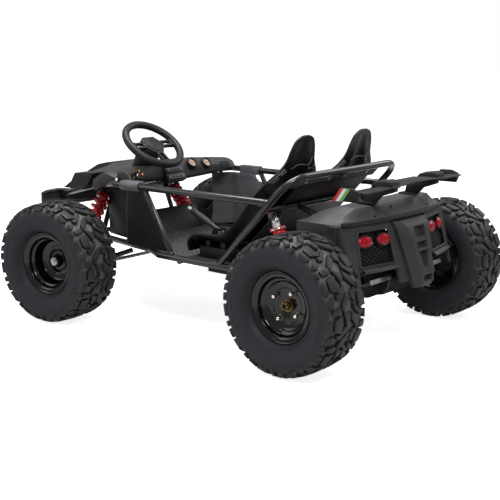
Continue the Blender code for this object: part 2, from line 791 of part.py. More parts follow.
def make_seats(mats):
    span = SEAT_FRONT_AHEAD - SEAT_TOP_AHEAD
    rise = SEAT_HEIGHT - floor_top()
    spine = [
        Vector((REAR_X + SEAT_TOP_AHEAD + ahead * span, 0, floor_top() + height * rise))
        for ahead, height, _, _ in SEAT_SHARES
    ]
    for label, side in SIDES:
        rows = []
        for i, (_, _, half, lift) in enumerate(SEAT_SHARES):
            along = spine[min(i + 1, len(spine) - 1)] - spine[max(i - 1, 0)]
            up = Vector((along.z, 0, -along.x)).normalized()
            row = []
            for across, raised in SEAT_ACROSS_SHARES:
                point = spine[i] + up * raised * lift * SEAT_BOLSTER
                point.y = side * DRIVER_SIDE + across * half * SEAT_HALF_WIDTH
                row.append(point)
            rows.append(row)
        seat = skin("seat_" + label, rows, SEAT_WALL, mats["seat"])
        feet = []
        for ahead, top in SEAT_FOOT_SHARES:
            x = REAR_X + SEAT_TOP_AHEAD + ahead * span
            low = (x - SEAT_FOOT_LENGTH / 2, side * DRIVER_SIDE - SEAT_FOOT_HALF, floor_top() + CLEARANCE)
            high = (x + SEAT_FOOT_LENGTH / 2, side * DRIVER_SIDE + SEAT_FOOT_HALF, floor_top() + top * rise)
            feet.append(box("foot", low, high))
        fuse(seat, *feet)


def make_bulkhead(mats):
    """The panel behind the seats, which leans on the brace between the roll hoop's legs."""
    low = floor_top() + CLEARANCE
    lean = (hoop_leg_point(BULKHEAD_HEIGHT, 1) - hoop_leg_point(low, 1)).normalized()
    rear = (BRACE_RADIUS + CLEARANCE) / lean.z
    front = rear + BULKHEAD_THICKNESS / lean.z
    corners = ((low, rear), (low, front), (BULKHEAD_HEIGHT, front), (BULKHEAD_HEIGHT, rear))
    outline = [(hoop_leg_point(z, 1).x + ahead, z) for z, ahead in corners]
    prism("bulkhead", outline, lambda u, v, w: (u, w, v), -BULKHEAD_HALF, BULKHEAD_HALF, mats["plastic"])


def make_handbrake(mats):
    x = REAR_X + HANDBRAKE_PIVOT_AHEAD
    base = floor_top() + CLEARANCE
    pivot = Vector((x, 0, base + HANDBRAKE_BRACKET))
    grip = pivot + Vector((HANDBRAKE_REACH, 0, HANDBRAKE_RISE))
    lever = tube("handbrake", [pivot, grip], HANDBRAKE_RADIUS, mats["plastic"])
    half = HANDBRAKE_RADIUS * HANDBRAKE_BRACKET_SHARE
    bracket = box("bracket", (x - half, -half, base), (x + 3 * half, half, base + HANDBRAKE_BRACKET + half))
    fuse(lever, bracket)


def make_pedals(mats):
    x = FRONT_X - PEDAL_BEHIND
    base = floor_top() + CLEARANCE
    middle = DRIVER_SIDE - PEDAL_INWARD
    reach = (PEDAL_SPACING + PEDAL_WIDTH) / 2
    bar = box(
        "pedals",
        (x, middle - reach, base),
        (x + 2 * PEDAL_THICKNESS, middle + reach, base + 2 * PEDAL_THICKNESS),
        mats["motor"],
    )
    pads = []
    for across in (-1, 1):
        y = middle + across * PEDAL_SPACING / 2
        outline = [
            (x, base + PEDAL_THICKNESS),
            (x + PEDAL_THICKNESS, base + PEDAL_THICKNESS),
            (x + PEDAL_THICKNESS + PEDAL_LEAN, base + PEDAL_HEIGHT),
            (x + PEDAL_LEAN, base + PEDAL_HEIGHT),
        ]
        half = PEDAL_WIDTH / 2
        pads.append(prism("pad", outline, lambda u, v, w: (u, w, v), y - half, y + half))
    fuse(bar, *pads)


def make_side_panels(mats):
    """The upright panels ahead of the pillars, each with the sleeve that holds it to the side rail."""
    for label, side in SIDES:
        start = (FRONT_X - SLEEVE_FRONT_BEHIND - SLEEVE_LENGTH, side * FRAME_HALF_WIDTH, UPPER_RAIL_HEIGHT)
        end = (FRONT_X - SLEEVE_FRONT_BEHIND, side * FRAME_HALF_WIDTH, UPPER_RAIL_HEIGHT)
        outer = side * (FRAME_HALF_WIDTH - SIDE_PANEL_INSET)
        thickness = side * PANEL_THICKNESS
        rows = []
        for z in (UPPER_RAIL_HEIGHT - SIDE_PANEL_LIP, LOWER_RAIL_HEIGHT + SIDE_PANEL_LIP):
            row = [Vector((pillar_x(z) + SIDE_PANEL_TOP_GAP, outer, z))]
            for behind, inward in SIDE_PANEL_SHARES:
                x = FRONT_X - behind * PILLAR_FOOT_BEHIND
                row.append(Vector((x, outer * (1 - inward), z)))
            rows.append(row)
        if side < 0:
            rows.reverse()
        panel = skin("side_panel_" + label, rows, PANEL_THICKNESS, mats["grey"])
        lip_low = (start[0], outer - thickness, UPPER_RAIL_HEIGHT - SLEEVE_LIP)
        lip_high = (end[0], side * FRAME_HALF_WIDTH, UPPER_RAIL_HEIGHT + SLEEVE_LIP)
        ys = sorted((lip_low[1], lip_high[1]))
        lip = box("lip", (lip_low[0], ys[0], lip_low[2]), (lip_high[0], ys[1], lip_high[2]))
        sleeve = tube("sleeve", [start, end], TUBE_RADIUS + SLEEVE_WALL)
        fuse(panel, lip, sleeve)
        cut(panel, clearance_tube(upper_rail_path(side), UPPER_RAIL_BEND))


# Steering
def steering_axis():
    """The direction from the steering wheel down its column."""
    return Vector((math.sin(STEERING_TILT), 0, -math.cos(STEERING_TILT)))


def steering_centre():
    return Vector((FRONT_X - STEERING_WHEEL_BEHIND, DRIVER_SIDE, STEERING_WHEEL_HEIGHT))


def torus(name, ring_radius, bar_radius, ring_steps, bar_steps):
    bm = bmesh.new()
    rings = []
    for i in range(ring_steps):
        around = 2 * math.pi * i / ring_steps
        ring = []
        for j in range(bar_steps):
            about = 2 * math.pi * j / bar_steps
            reach = ring_radius + bar_radius * math.cos(about)
            place = (reach * math.cos(around), reach * math.sin(around), bar_radius * math.sin(about))
            ring.append(bm.verts.new(place))
        rings.append(ring)
    for i in range(ring_steps):
        near, far = rings[i], rings[(i + 1) % ring_steps]
        for j in range(bar_steps):
            k = (j + 1) % bar_steps
            bm.faces.new((near[j], near[k], far[k], far[j]))
    return as_object(name, bm)


def make_steering_wheel(mats):
    """The wheel with its hub and shaft, turned about its own Z, which points at the driver."""
    ring = STEERING_WHEEL_RADIUS - STEERING_RIM_RADIUS
    wheel = torus("steering_wheel", ring, STEERING_RIM_RADIUS, WHEEL_STEPS, STEERING_RIM_STEPS)
    wheel.data.materials.append(mats["plastic"])
    parts = []
    for turn in SPOKE_TURNS:
        wide, thick = SPOKE_WIDTH / 2, SPOKE_THICKNESS / 2
        spoke = box("spoke", (0, -wide, -thick), (ring, wide, thick))
        spoke.data.transform(Matrix.Rotation(turn, 4, "Z"))
        parts.append(spoke)
    hub = STEERING_HUB_LENGTH / 2
    parts.append(cylinder("hub", (0, 0, -hub), (0, 0, hub), STEERING_HUB_WIDTH / 2))
    parts.append(cylinder("shaft", (0, 0, -SHAFT_LENGTH), (0, 0, 0), SHAFT_RADIUS))
    fuse(wheel, *parts)
    placed(wheel, None, steering_centre(), (0, -STEERING_TILT, 0))


def column_cutter(radius):
    centre = steering_centre()
    return cylinder("column_cope", centre, centre + steering_axis() * (SHAFT_LENGTH + COLUMN_LENGTH), radius)


def make_column(mats):
    """The fixed column that the shaft turns in, down to its bracket on the toe board."""
    centre, down = steering_centre(), steering_axis()
    start = centre + down * (STEERING_HUB_LENGTH / 2 + COLUMN_GAP)
    end = start + down * COLUMN_LENGTH
    column = cylinder("steering_column", start, end, COLUMN_RADIUS, mats["tube"])
    foot = cylinder("foot", end - down * COLUMN_GAP, end + down * COLUMN_FOOT_LENGTH, TUBE_RADIUS)
    fuse(column, foot)
    bore_end = centre + down * (SHAFT_LENGTH + COLUMN_GAP / 2)
    return cut(column, cylinder("bore", centre, bore_end, SHAFT_RADIUS + RUNNING_CLEARANCE))


def rod_x():
    """Where the track rod runs: midway between its eyes' places straight ahead and at full lock."""
    return FRONT_X - STEER_ARM_LENGTH * (1 + math.cos(FULL_LOCK)) / 2


def make_track_rod(mats):
    x = rod_x()
    shift = -STEER_ARM_LENGTH * math.sin(REST_STEER)
    rod = tube(
        "track_rod",
        [(x, side * KINGPIN_SIDE + shift, RACK_HEIGHT) for _, side in SIDES],
        TIE_ROD_RADIUS,
        mats["steel"],
    )
    eyes = []
    for _, side in SIDES:
        y = side * KINGPIN_SIDE + shift
        half = TIE_ROD_EYE_HEIGHT / 2
        low, high = (x, y, RACK_HEIGHT - half), (x, y, RACK_HEIGHT + half)
        eyes.append(cylinder("eye", low, high, TIE_ROD_EYE_RADIUS))
    fuse(rod, *eyes)
    recentred(rod, (x, shift, RACK_HEIGHT))


def make_rack_housing(mats):
    x = rod_x()
    outer = TIE_ROD_RADIUS + RUNNING_CLEARANCE + RACK_CLAMP_WALL
    ends = [(x, side * RACK_HALF, RACK_HEIGHT) for side in (-1, 1)]
    housing = cylinder("rack_housing", *ends, outer, mats["motor"])
    top = floor_top() - FLOOR_THICKNESS - CLEARANCE
    clamps = []
    for _, side in SIDES:
        y = side * (RACK_HALF - RACK_CLAMP_WIDTH)
        half = RACK_CLAMP_WIDTH / 2
        clamps.append(box("clamp", (x - half, y - half, RACK_HEIGHT), (x + half, y + half, top)))
    fuse(housing, *clamps)
    reach = RACK_HALF * 2
    bore = TIE_ROD_RADIUS + RUNNING_CLEARANCE
    cut(housing, cylinder("bore", (x, -reach, RACK_HEIGHT), (x, reach, RACK_HEIGHT), bore))


def make_knuckle(label, side, mats):
    """The upright on its kingpin, with the spindle out to the wheel and the arm back to the track rod."""
    axis = empty("steer_axis_" + label, (FRONT_X, side * KINGPIN_SIDE, TYRE_RADIUS), (0, 0, REST_STEER))
    half = KINGPIN_HALF_HEIGHT - YOKE_GAP
    knuckle = cylinder("knuckle_" + label, (0, 0, -half), (0, 0, half), KNUCKLE_BLOCK / 2, mats["motor"])
    pin = KINGPIN_HALF_HEIGHT + YOKE_THICKNESS
    parts = [cylinder("pin", (0, 0, -pin), (0, 0, pin), KINGPIN_RADIUS)]
    offset = FRONT_TRACK / 2 - KINGPIN_SIDE
    shoulder = offset + RIM_HALF_WIDTH - FRONT_DISC_INSET - FRONT_HUB_INNER - RUNNING_GAP
    end = offset + SPINDLE_REACH
    parts.append(cylinder("shoulder", (0, 0, 0), (0, side * shoulder, 0), SPINDLE_RADIUS + SHOULDER_STEP))
    parts.append(cylinder("spindle", (0, 0, 0), (0, side * end, 0), SPINDLE_RADIUS))
    low = STEER_ARM_HEIGHT - TYRE_RADIUS
    arm_half = STEER_ARM_WIDTH / 2
    parts.append(
        box(
            "arm",
            (-STEER_ARM_LENGTH, -arm_half, low - STEER_ARM_THICKNESS / 2),
            (0, arm_half, low + STEER_ARM_THICKNESS / 2),
        )
    )
    parts.append(
        cylinder(
            "arm_end",
            (-STEER_ARM_LENGTH, 0, low - STEER_ARM_THICKNESS / 2),
            (-STEER_ARM_LENGTH, 0, low + STEER_ARM_THICKNESS / 2),
            arm_half + SHOULDER_STEP,
        )
    )
    fuse(knuckle, *parts)
    placed(knuckle, axis)
    return empty("wheel_axis_" + label, (0, side * offset, 0), outward(side), axis)


# Wheels
def tyre_profile():
    """The tyre's closed section: the carcass from bead to bead, then its hollow inside."""
    section = TYRE_RADIUS - BEAD_RADIUS
    outside = [(-y * TYRE_WIDTH / 2, BEAD_RADIUS + r * section) for y, r in TYRE_SHARES]
    outside += [(-y, r) for y, r in reversed(outside[:-1])]
    half = TYRE_WIDTH / 2
    inside = [(half * y, BEAD_RADIUS + r * section) for y, r in TYRE_INSIDE_SHARES]
    inside += [(-y, r) for y, r in reversed(inside)]
    return outside + inside


def make_tyre(name, parent, mats):
    """A carcass turned about the axle, with lugs raised on every other step of its tread."""
    profile = tyre_profile()
    bm = bmesh.new()
    rings = []
    foot = -math.pi / 2 - LUG_TAPER * math.pi / TYRE_STEPS
    for i in range(TYRE_STEPS):
        turn = foot + 2 * math.pi * i / TYRE_STEPS
        rings.append([bm.verts.new((r * math.cos(turn), y, r * math.sin(turn))) for y, r in profile])
    lugs = []
    for i in range(TYRE_STEPS):
        near, far = rings[i], rings[(i + 1) % TYRE_STEPS]
        for row, offset in LUG_ROWS:
            if i % 2 == offset:
                lugs.append([near[row], near[row + 1], near[row + 2], far[row + 2], far[row + 1], far[row]])
        raised = [row + j for row, offset in LUG_ROWS if i % 2 == offset for j in range(2)]
        for j in range(len(profile)):
            k = (j + 1) % len(profile)
            if j not in raised:
                bm.faces.new((near[j], near[k], far[k], far[j]))
    for base in lugs:
        raise_lug(bm, base)
    bmesh.ops.triangulate(bm, faces=bm.faces)
    return placed(as_object(name, bm, mats["rubber"]), parent)


def raise_lug(bm, base):
    """A lug on six points of the tread: walls out to its tip radius and two quads on top."""
    middle = sum((v.co for v in base), Vector()) / len(base)
    tops = []
    for vert in base:
        flat = vert.co.lerp(middle, LUG_TAPER)
        radius = math.hypot(vert.co.x, vert.co.z)
        tip = min(TYRE_RADIUS, radius + LUG_DEPTH) / math.hypot(flat.x, flat.z)
        tops.append(bm.verts.new((flat.x * tip, flat.y, flat.z * tip)))
    for a in range(len(base)):
        b = (a + 1) % len(base)
        bm.faces.new((base[a], base[b], tops[b], tops[a]))
    bm.faces.new((tops[0], tops[1], tops[4], tops[5]))
    bm.faces.new((tops[1], tops[2], tops[3], tops[4]))


def rim_section(disc):
    """The barrel's section from the disc's front, over both flanges, to the disc's back."""
    edge = RIM_HALF_WIDTH
    well = DROP_CENTRE_RADIUS - RIM_WALL
    seat = RIM_FLANGE_RADIUS - RIM_SEAT_DEPTH
    lip = RIM_FLANGE_RADIUS - RIM_WALL
    ledge, slope = edge - RIM_LEDGE, edge - RIM_LEDGE - RIM_STEP
    inner = [(slope + RIM_WALL / 2, well), (ledge + RIM_WALL / 2, seat - RIM_WALL), (edge, lip)]
    outer = [
        (edge, RIM_FLANGE_RADIUS),
        (edge - FLANGE_THICKNESS, RIM_FLANGE_RADIUS),
        (edge - FLANGE_THICKNESS, seat),
        (ledge, seat),
        (slope, DROP_CENTRE_RADIUS),
    ]
    front = [(disc, well)] + inner + outer
    back = [(-y, r) for y, r in reversed(outer)] + [(-y, r) for y, r in reversed(inner)]
    return front + back + [(disc - DISC_THICKNESS, well)]


def make_front_wheel(label, axle, mats):
    disc = RIM_HALF_WIDTH - FRONT_DISC_INSET
    hub_end = disc + FRONT_HUB_OUTER
    hub_start = disc - FRONT_HUB_INNER
    bore = SPINDLE_RADIUS + RUNNING_CLEARANCE / 2
    bore_end = SPINDLE_REACH + RUNNING_GAP
    outer = [(hub_end, 0.0), (hub_end, HUB_RADIUS), (disc, HUB_RADIUS)]
    back = [(disc - DISC_THICKNESS, HUB_RADIUS), (hub_start, HUB_RADIUS)]
    inner = back + [(hub_start, bore), (bore_end, bore), (bore_end, 0.0)]
    rim = lathe("rim_front_" + label, outer + rim_section(disc) + inner, mats["rim"])
    placed(rim, axle, rotation=(0, RIM_TURN, 0))
    make_tyre("tyre_front_" + label, axle, mats)


def make_rear_wheel(label, side, mats):
    axle = empty("rear_axis_" + label, (REAR_X, side * REAR_TRACK / 2, TYRE_RADIUS), outward(side))
    disc = RIM_HALF_WIDTH - REAR_DISC_INSET
    hole = AXLE_RADIUS + CLEARANCE * 2
    profile = [(disc, hole)] + rim_section(disc) + [(disc - DISC_THICKNESS, hole)]
    rim = lathe("rim_rear_" + label, profile, mats["rim"])
    bolts = []
    for i in range(LUG_BOLTS):
        turn = math.pi / LUG_BOLTS + 2 * math.pi * i / LUG_BOLTS
        x, z = LUG_BOLT_CIRCLE_RADIUS * math.cos(turn), LUG_BOLT_CIRCLE_RADIUS * math.sin(turn)
        ends = [(x, y, z) for y in (disc - DISC_THICKNESS / 2, disc + LUG_BOLT_LENGTH)]
        bolts.append(cylinder("bolt", *ends, LUG_BOLT_RADIUS, steps=BOLT_STEPS))
    fuse(rim, *bolts)
    placed(rim, axle, rotation=(0, RIM_TURN, 0))
    make_tyre("tyre_rear_" + label, axle, mats)
    flange = disc - DISC_THICKNESS - CLEARANCE
    inner = GEARBOX_HALF_WIDTH + RUNNING_GAP - REAR_TRACK / 2
    shaft = [
        (inner, 0.0),
        (inner, AXLE_RADIUS),
        (flange - AXLE_FLANGE_THICKNESS, AXLE_RADIUS),
        (flange - AXLE_FLANGE_THICKNESS, AXLE_FLANGE_RADIUS),
        (flange, AXLE_FLANGE_RADIUS),
        (flange, AXLE_RADIUS),
        (disc + REAR_HUB_LENGTH, AXLE_RADIUS),
        (disc + REAR_HUB_LENGTH, 0.0),
    ]
    placed(lathe("half_shaft_" + label, shaft, mats["steel"]), axle)


# Suspension
def make_front_arm(mats):
    """The left wishbone, with the yoke that holds the kingpin at both ends."""
    side = 1
    knuckle = Vector((FRONT_X, KINGPIN_SIDE, TYRE_RADIUS))
    post_in = -(KNUCKLE_BLOCK / 2 + YOKE_CLEAR)
    post_out = post_in - YOKE_THICKNESS
    tip = KINGPIN_RADIUS + YOKE_THICKNESS
    near, far = KINGPIN_HALF_HEIGHT, KINGPIN_HALF_HEIGHT + YOKE_THICKNESS
    section = [
        (post_out, -far),
        (tip, -far),
        (tip, -near),
        (post_in, -near),
        (post_in, near),
        (tip, near),
        (tip, far),
        (post_out, far),
    ]
    yoke = prism(
        "arm_front_left",
        section,
        lambda u, v, w: knuckle + Vector((w, u, v)),
        -YOKE_HALF,
        YOKE_HALF,
        mats["tube"],
    )
    parts = []
    foot = knuckle + Vector((0, (post_in + post_out) / 2, -KINGPIN_HALF_HEIGHT + ARM_RADIUS))
    under = LOWER_RAIL_HEIGHT - TUBE_RADIUS - ARM_RADIUS - CLEARANCE
    for ahead, kink in ((-1, False), (1, True)):
        x = FRONT_X + ahead * ARM_PIVOT_SPREAD
        end = Vector((x, side * lower_rail_half_width(x), under))
        path = [foot, end]
        if kink:
            path.insert(1, Vector((FRONT_X + TOWER_AHEAD, side * FRONT_SHOCK_LOW_SIDE, SHOCK_ARM_HEIGHT)))
        parts.append(tube("leg", path, ARM_RADIUS))
    eye_x = FRONT_X + TOWER_AHEAD
    for way in (1, -1):
        x = eye_x + way * (SHOCK_EYE_WIDTH / 2 + CLEARANCE + LUG_PLATE_THICKNESS / 2)
        half = LUG_PLATE_THICKNESS / 2
        wide = SHOCK_EYE_RADIUS * 2 / 3
        y = side * FRONT_SHOCK_LOW_SIDE
        parts.append(
            box(
                "ear",
                (x - half, y - wide, SHOCK_ARM_HEIGHT - ARM_RADIUS / 2),
                (x + half, y + wide, FRONT_SHOCK_LOW_HEIGHT + SHOCK_EYE_RADIUS / 3),
            )
        )
    fuse(yoke, *parts)
    reach = KINGPIN_HALF_HEIGHT * 2
    bore = KINGPIN_RADIUS + RUNNING_CLEARANCE
    cut(yoke, cylinder("bore", knuckle - Vector((0, 0, reach)), knuckle + Vector((0, 0, reach)), bore))
    return mirrored(yoke, "arm_front_right")


def make_shock(label, top, low, mats):
    """A damper with an eye at each end, and the spring around it as a piece of its own."""
    top, low = Vector(top), Vector(low)
    along = (low - top).normalized()
    eye_axis = Vector((1, 0, 0)) if abs(along.x) < abs(along.y) else Vector((0, 1, 0))
    half = SHOCK_EYE_WIDTH / 2
    body = cylinder("shock_" + label, top, low, SHOCK_BODY_RADIUS, mats["steel"])
    parts = [cylinder("eye", p - eye_axis * half, p + eye_axis * half, SHOCK_EYE_RADIUS) for p in (top, low)]
    length = (low - top).length
    inset = 2 * SHOCK_EYE_RADIUS
    collars = []
    for start in (inset, length - inset - SHOCK_COLLAR_THICKNESS):
        base = top + along * start
        collars.append(
            cylinder("collar", base, base + along * SHOCK_COLLAR_THICKNESS, SHOCK_COLLAR_RADIUS)
        )
    fuse(body, *parts, *collars)
    first = inset + SHOCK_COLLAR_THICKNESS + SPRING_WIRE_RADIUS + CLEARANCE
    last = length - first
    turn = along.to_track_quat("Z", "Y").to_matrix()
    path = []
    for i in range(SPRING_COILS * SPRING_STEPS_PER_COIL + 1):
        share = i / (SPRING_COILS * SPRING_STEPS_PER_COIL)
        angle = 2 * math.pi * SPRING_COILS * share
        out, across = SPRING_RADIUS * math.cos(angle), SPRING_RADIUS * math.sin(angle)
        flat = Vector((out, across, first + (last - first) * share))
        path.append(top + turn @ flat)
    tube("spring_" + label, path, SPRING_WIRE_RADIUS, mats["red"], level=0)


def make_front_shocks(mats):
    x = FRONT_X + TOWER_AHEAD
    for label, side in SIDES:
        make_shock(
            "front_" + label,
            (x, side * FRONT_SHOCK_TOP_SIDE, FRONT_SHOCK_TOP_HEIGHT),
            (x, side * FRONT_SHOCK_LOW_SIDE, FRONT_SHOCK_LOW_HEIGHT),
            mats,
        )


def make_rear_shocks(mats):
    for label, side in SIDES:
        make_shock(
            "rear_" + label,
            (REAR_X + SHOCK_EYE_AHEAD, side * SHOCK_EYE_SIDE, SHOCK_EYE_HEIGHT),
            (REAR_X + REAR_SHOCK_LOW_AHEAD, side * SHOCK_EYE_SIDE, REAR_SHOCK_LOW_HEIGHT),
            mats,
        )


def swing_arm_height(x):
    front, rear = rear_cross_x(), REAR_X
    share = (x - rear) / (front - rear)
    return TYRE_RADIUS + (LOWER_RAIL_HEIGHT - CROSS_DROP - TYRE_RADIUS) * share


def make_rear_arm(mats):
    front = rear_cross_x()
    cross_x = REAR_X + REAR_SHOCK_LOW_AHEAD
    cross_z = swing_arm_height(cross_x)
    rods = []
    for _, side in SIDES:
        y = side * SWING_ARM_SIDE
        path = [(REAR_X, y, TYRE_RADIUS), (front, y, swing_arm_height(front))]
        rods.append(tube("arm", path, SWING_ARM_RADIUS))
        half = BEARING_WIDTH / 2
        ends = [(REAR_X, y - half, TYRE_RADIUS), (REAR_X, y + half, TYRE_RADIUS)]
        rods.append(cylinder("bearing", *ends, BEARING_RADIUS))
        for way in (1, -1):
            middle = side * SHOCK_EYE_SIDE + way * (SHOCK_EYE_WIDTH / 2 + CLEARANCE + LUG_PLATE_THICKNESS / 2)
            thick = LUG_PLATE_THICKNESS / 2
            wide = LUG_PLATE_WIDTH / 2
            rods.append(
                box(
                    "ear",
                    (cross_x - wide, middle - thick, cross_z),
                    (cross_x + wide, middle + thick, REAR_SHOCK_LOW_HEIGHT + SHOCK_EYE_RADIUS),
                )
            )
    arm = tube("rear_arm", [(cross_x, way * SWING_ARM_SIDE, cross_z) for way in (1, -1)], BRACE_RADIUS)
    arm.data.materials.append(mats["tube"])
    fuse(arm, *rods)
    reach = REAR_TRACK / 2
    bore = AXLE_RADIUS + RUNNING_CLEARANCE
    cut(
        arm,
        cylinder("bore", (REAR_X, -reach, TYRE_RADIUS), (REAR_X, reach, TYRE_RADIUS), bore),
        tube(
            "cope",
            [(front, reach, swing_arm_height(front)), (front, -reach, swing_arm_height(front))],
            BRACE_RADIUS + CLEARANCE,
        ),
    )


def make_drive_unit(mats):
    """The gearbox between the half shafts with the motor behind it, as plain bodies."""
    half = GEARBOX_HALF_WIDTH
    box_x = REAR_X
    ends = [(box_x, way * half, TYRE_RADIUS) for way in (-1, 1)]
    unit = cylinder("drive_unit", *ends, GEARBOX_RADIUS, mats["motor"], DRIVE_STEPS)
    motor_x = REAR_X - MOTOR_BEHIND
    motor_z = TYRE_RADIUS + MOTOR_RISE
    start = (motor_x, -half / 2, motor_z)
    end = (motor_x, MOTOR_LENGTH - half / 2, motor_z)
    motor = cylinder("motor", start, end, MOTOR_RADIUS, steps=DRIVE_STEPS)
    cross_x = REAR_X + REAR_SHOCK_LOW_AHEAD
    stay = tube("stay", [(box_x, 0, TYRE_RADIUS), (cross_x, 0, swing_arm_height(cross_x))], SWING_ARM_RADIUS)
    fuse(unit, motor, stay)
    z = swing_arm_height(cross_x)
    reach = SWING_ARM_SIDE
    cut(unit, tube("cope", [(cross_x, reach, z), (cross_x, -reach, z)], BRACE_RADIUS + CLEARANCE))


def make_tower_ears(frame, mats):
    """The plates on the front tower that the front dampers hang from."""
    x0 = FRONT_X + TOWER_AHEAD
    ears = []
    for _, side in SIDES:
        for way in (1, -1):
            x = x0 + way * (SHOCK_EYE_WIDTH / 2 + CLEARANCE + LUG_PLATE_THICKNESS / 2)
            half = LUG_PLATE_THICKNESS / 2
            ys = sorted((side * TOWER_HALF_TOP, side * (FRONT_SHOCK_TOP_SIDE + SHOCK_EYE_RADIUS)))
            ears.append(
                box(
                    "ear",
                    (x - half, ys[0], FRONT_SHOCK_TOP_HEIGHT - SHOCK_EYE_RADIUS),
                    (x + half, ys[1], FRONT_SHOCK_TOP_HEIGHT + SHOCK_EYE_RADIUS),
                )
            )
        reach = SHOCK_EYE_WIDTH / 2 + CLEARANCE + LUG_PLATE_THICKNESS
        low = FRONT_SHOCK_TOP_HEIGHT - SHOCK_EYE_RADIUS
        ys = sorted((side * (TOWER_HALF_TOP - BRACE_RADIUS), side * (TOWER_HALF_TOP + BRACE_RADIUS * 2)))
        ears.append(box("web", (x0 - reach, ys[0], low), (x0 + reach, ys[1], low + 2 * SHOCK_EYE_RADIUS)))
    return fuse(frame, *ears)


# Dash and nose
def loft(name, rings, mat):
    """A closed solid through rings of equal length, with flat ends."""
    bm = bmesh.new()
    verts = [[bm.verts.new(p) for p in ring] for ring in rings]
    for near, far in zip(verts, verts[1:]):
        for j in range(len(near)):
            k = (j + 1) % len(near)
            bm.faces.new((near[j], near[k], far[k], far[j]))
    bm.faces.new(verts[0])
    bm.faces.new(list(reversed(verts[-1])))
    return as_object(name, bm, mat)


def make_dash(mats):
    rear = FRONT_X - DASH_REAR_BEHIND
    rings = []
    for across, top_share in DASH_SHARES:
        y = across * DASH_HALF_WIDTH
        top = DASH_TOP_HEIGHT - DASH_CROWN * (1 - top_share)
        low = DASH_TOP_HEIGHT - DASH_DROP
        rings.append(
            [
                (rear, y, low),
                (rear + DASH_LEAN, y, top - DASH_LEAN),
                (rear + 2 * DASH_LEAN, y, top),
                (rear + DASH_DEPTH, y, top),
                (rear + DASH_DEPTH, y, low),
            ]
        )
    dash = loft("dash", rings, mats["plastic"])
    parts = []
    z = DASH_TOP_HEIGHT - DASH_DROP / 2
    for i in range(2):
        y = GAUGE_FIRST_SIDE - i * GAUGE_SPACING
        parts.append(cylinder("gauge", (rear - GAUGE_PROUD, y, z), (rear + GAUGE_LENGTH, y, z), GAUGE_RADIUS))
    fuse(dash, *parts)
    cut(dash, column_cutter(COLUMN_RADIUS + CLEARANCE))


def make_nose(mats):
    rows = []
    length = HOOD_REAR_BEHIND + HOOD_FRONT_AHEAD
    for ahead, middle, edge, lip, narrow in reversed(HOOD_SHARES):
        x = FRONT_X - HOOD_REAR_BEHIND + ahead * length
        half = HOOD_HALF_WIDTH * narrow
        row = []
        for across, blend in HOOD_ACROSS_SHARES:
            fall = middle + (edge - middle) * blend
            row.append((x, across * half, HOOD_TOP_HEIGHT - fall * HOOD_FALL))
        low = HOOD_TOP_HEIGHT - lip * HOOD_FALL
        rows.append([(x, -half, low)] + row + [(x, half, low)])
    nose = skin("nose_cover", rows, PANEL_THICKNESS, mats["plastic"])
    cutters = [clearance_tube(upper_rail_path(side), UPPER_RAIL_BEND) for _, side in SIDES]
    cut(nose, column_cutter(COLUMN_RADIUS + 3 * CLEARANCE), *cutters)


def make_bumper(mats):
    front = FRONT_X + NOSE_OVERHANG
    rows = []
    for up in (0.5, -0.5):
        row = []
        for across, back, lift in BUMPER_SHARES:
            z = BUMPER_HEIGHT + lift * BUMPER_LIFT + up * BUMPER_DEPTH
            row.append((front - back * BUMPER_SWEEP, -across * BUMPER_HALF_WIDTH, z))
        rows.append(row)
    skin("front_bumper", rows, BUMPER_THICKNESS, mats["plastic"])


# Tail
def fascia_x(y, z):
    curve = FASCIA_CURVE * (y / DECK_HALF_WIDTH) ** 2
    return REAR_X - FASCIA_BEHIND + curve + FASCIA_LEAN * (z - LAMP_HEIGHT)


def make_fascia(mats):
    """The upright rear panel with a window either side of its middle."""
    top_half = DECK_HALF_WIDTH - DECK_THICKNESS - 2 * CLEARANCE
    rows = []
    heights = (FASCIA_TOP_HEIGHT, WINDOW_TOP_HEIGHT, WINDOW_LOW_HEIGHT, FASCIA_LOW_HEIGHT)
    for z in heights:
        share = (FASCIA_TOP_HEIGHT - z) / (FASCIA_TOP_HEIGHT - FASCIA_LOW_HEIGHT)
        outer = top_half + (FASCIA_LOW_HALF_WIDTH - top_half) * share
        window = WINDOW_OUTER_TOP_SIDE + (WINDOW_OUTER_LOW_SIDE - WINDOW_OUTER_TOP_SIDE) * share
        middle = (window + WINDOW_INNER_SIDE) / 2
        half_row = (outer, window, middle, WINDOW_INNER_SIDE, SPINE_LOW_HALF)
        ys = [-y for y in half_row] + [0.0] + list(reversed(half_row))
        rows.append([(fascia_x(y, z), y, z) for y in ys])
    windows = {(1, 1), (1, 2), (1, 7), (1, 8)}
    fascia = skin("rear_fascia", rows, FASCIA_THICKNESS, mats["plastic"], missing=windows)
    fuse(fascia, make_spine())


def make_grilles(mats):
    recess = GRILLE_RECESS
    for label, side in SIDES:
        rows = []
        for z in (WINDOW_TOP_HEIGHT + WINDOW_SILL, WINDOW_LOW_HEIGHT - WINDOW_SILL):
            inner, outer = WINDOW_INNER_SIDE, WINDOW_OUTER_TOP_SIDE
            ys = [inner - WINDOW_SILL, (inner + outer) / 2, outer + WINDOW_SILL]
            ys = [side * y for y in (ys if side > 0 else reversed(ys))]
            rows.append([(fascia_x(y, z) + recess, y, z) for y in ys])
        skin("grille_" + label, rows, GRILLE_THICKNESS, mats["motor"])


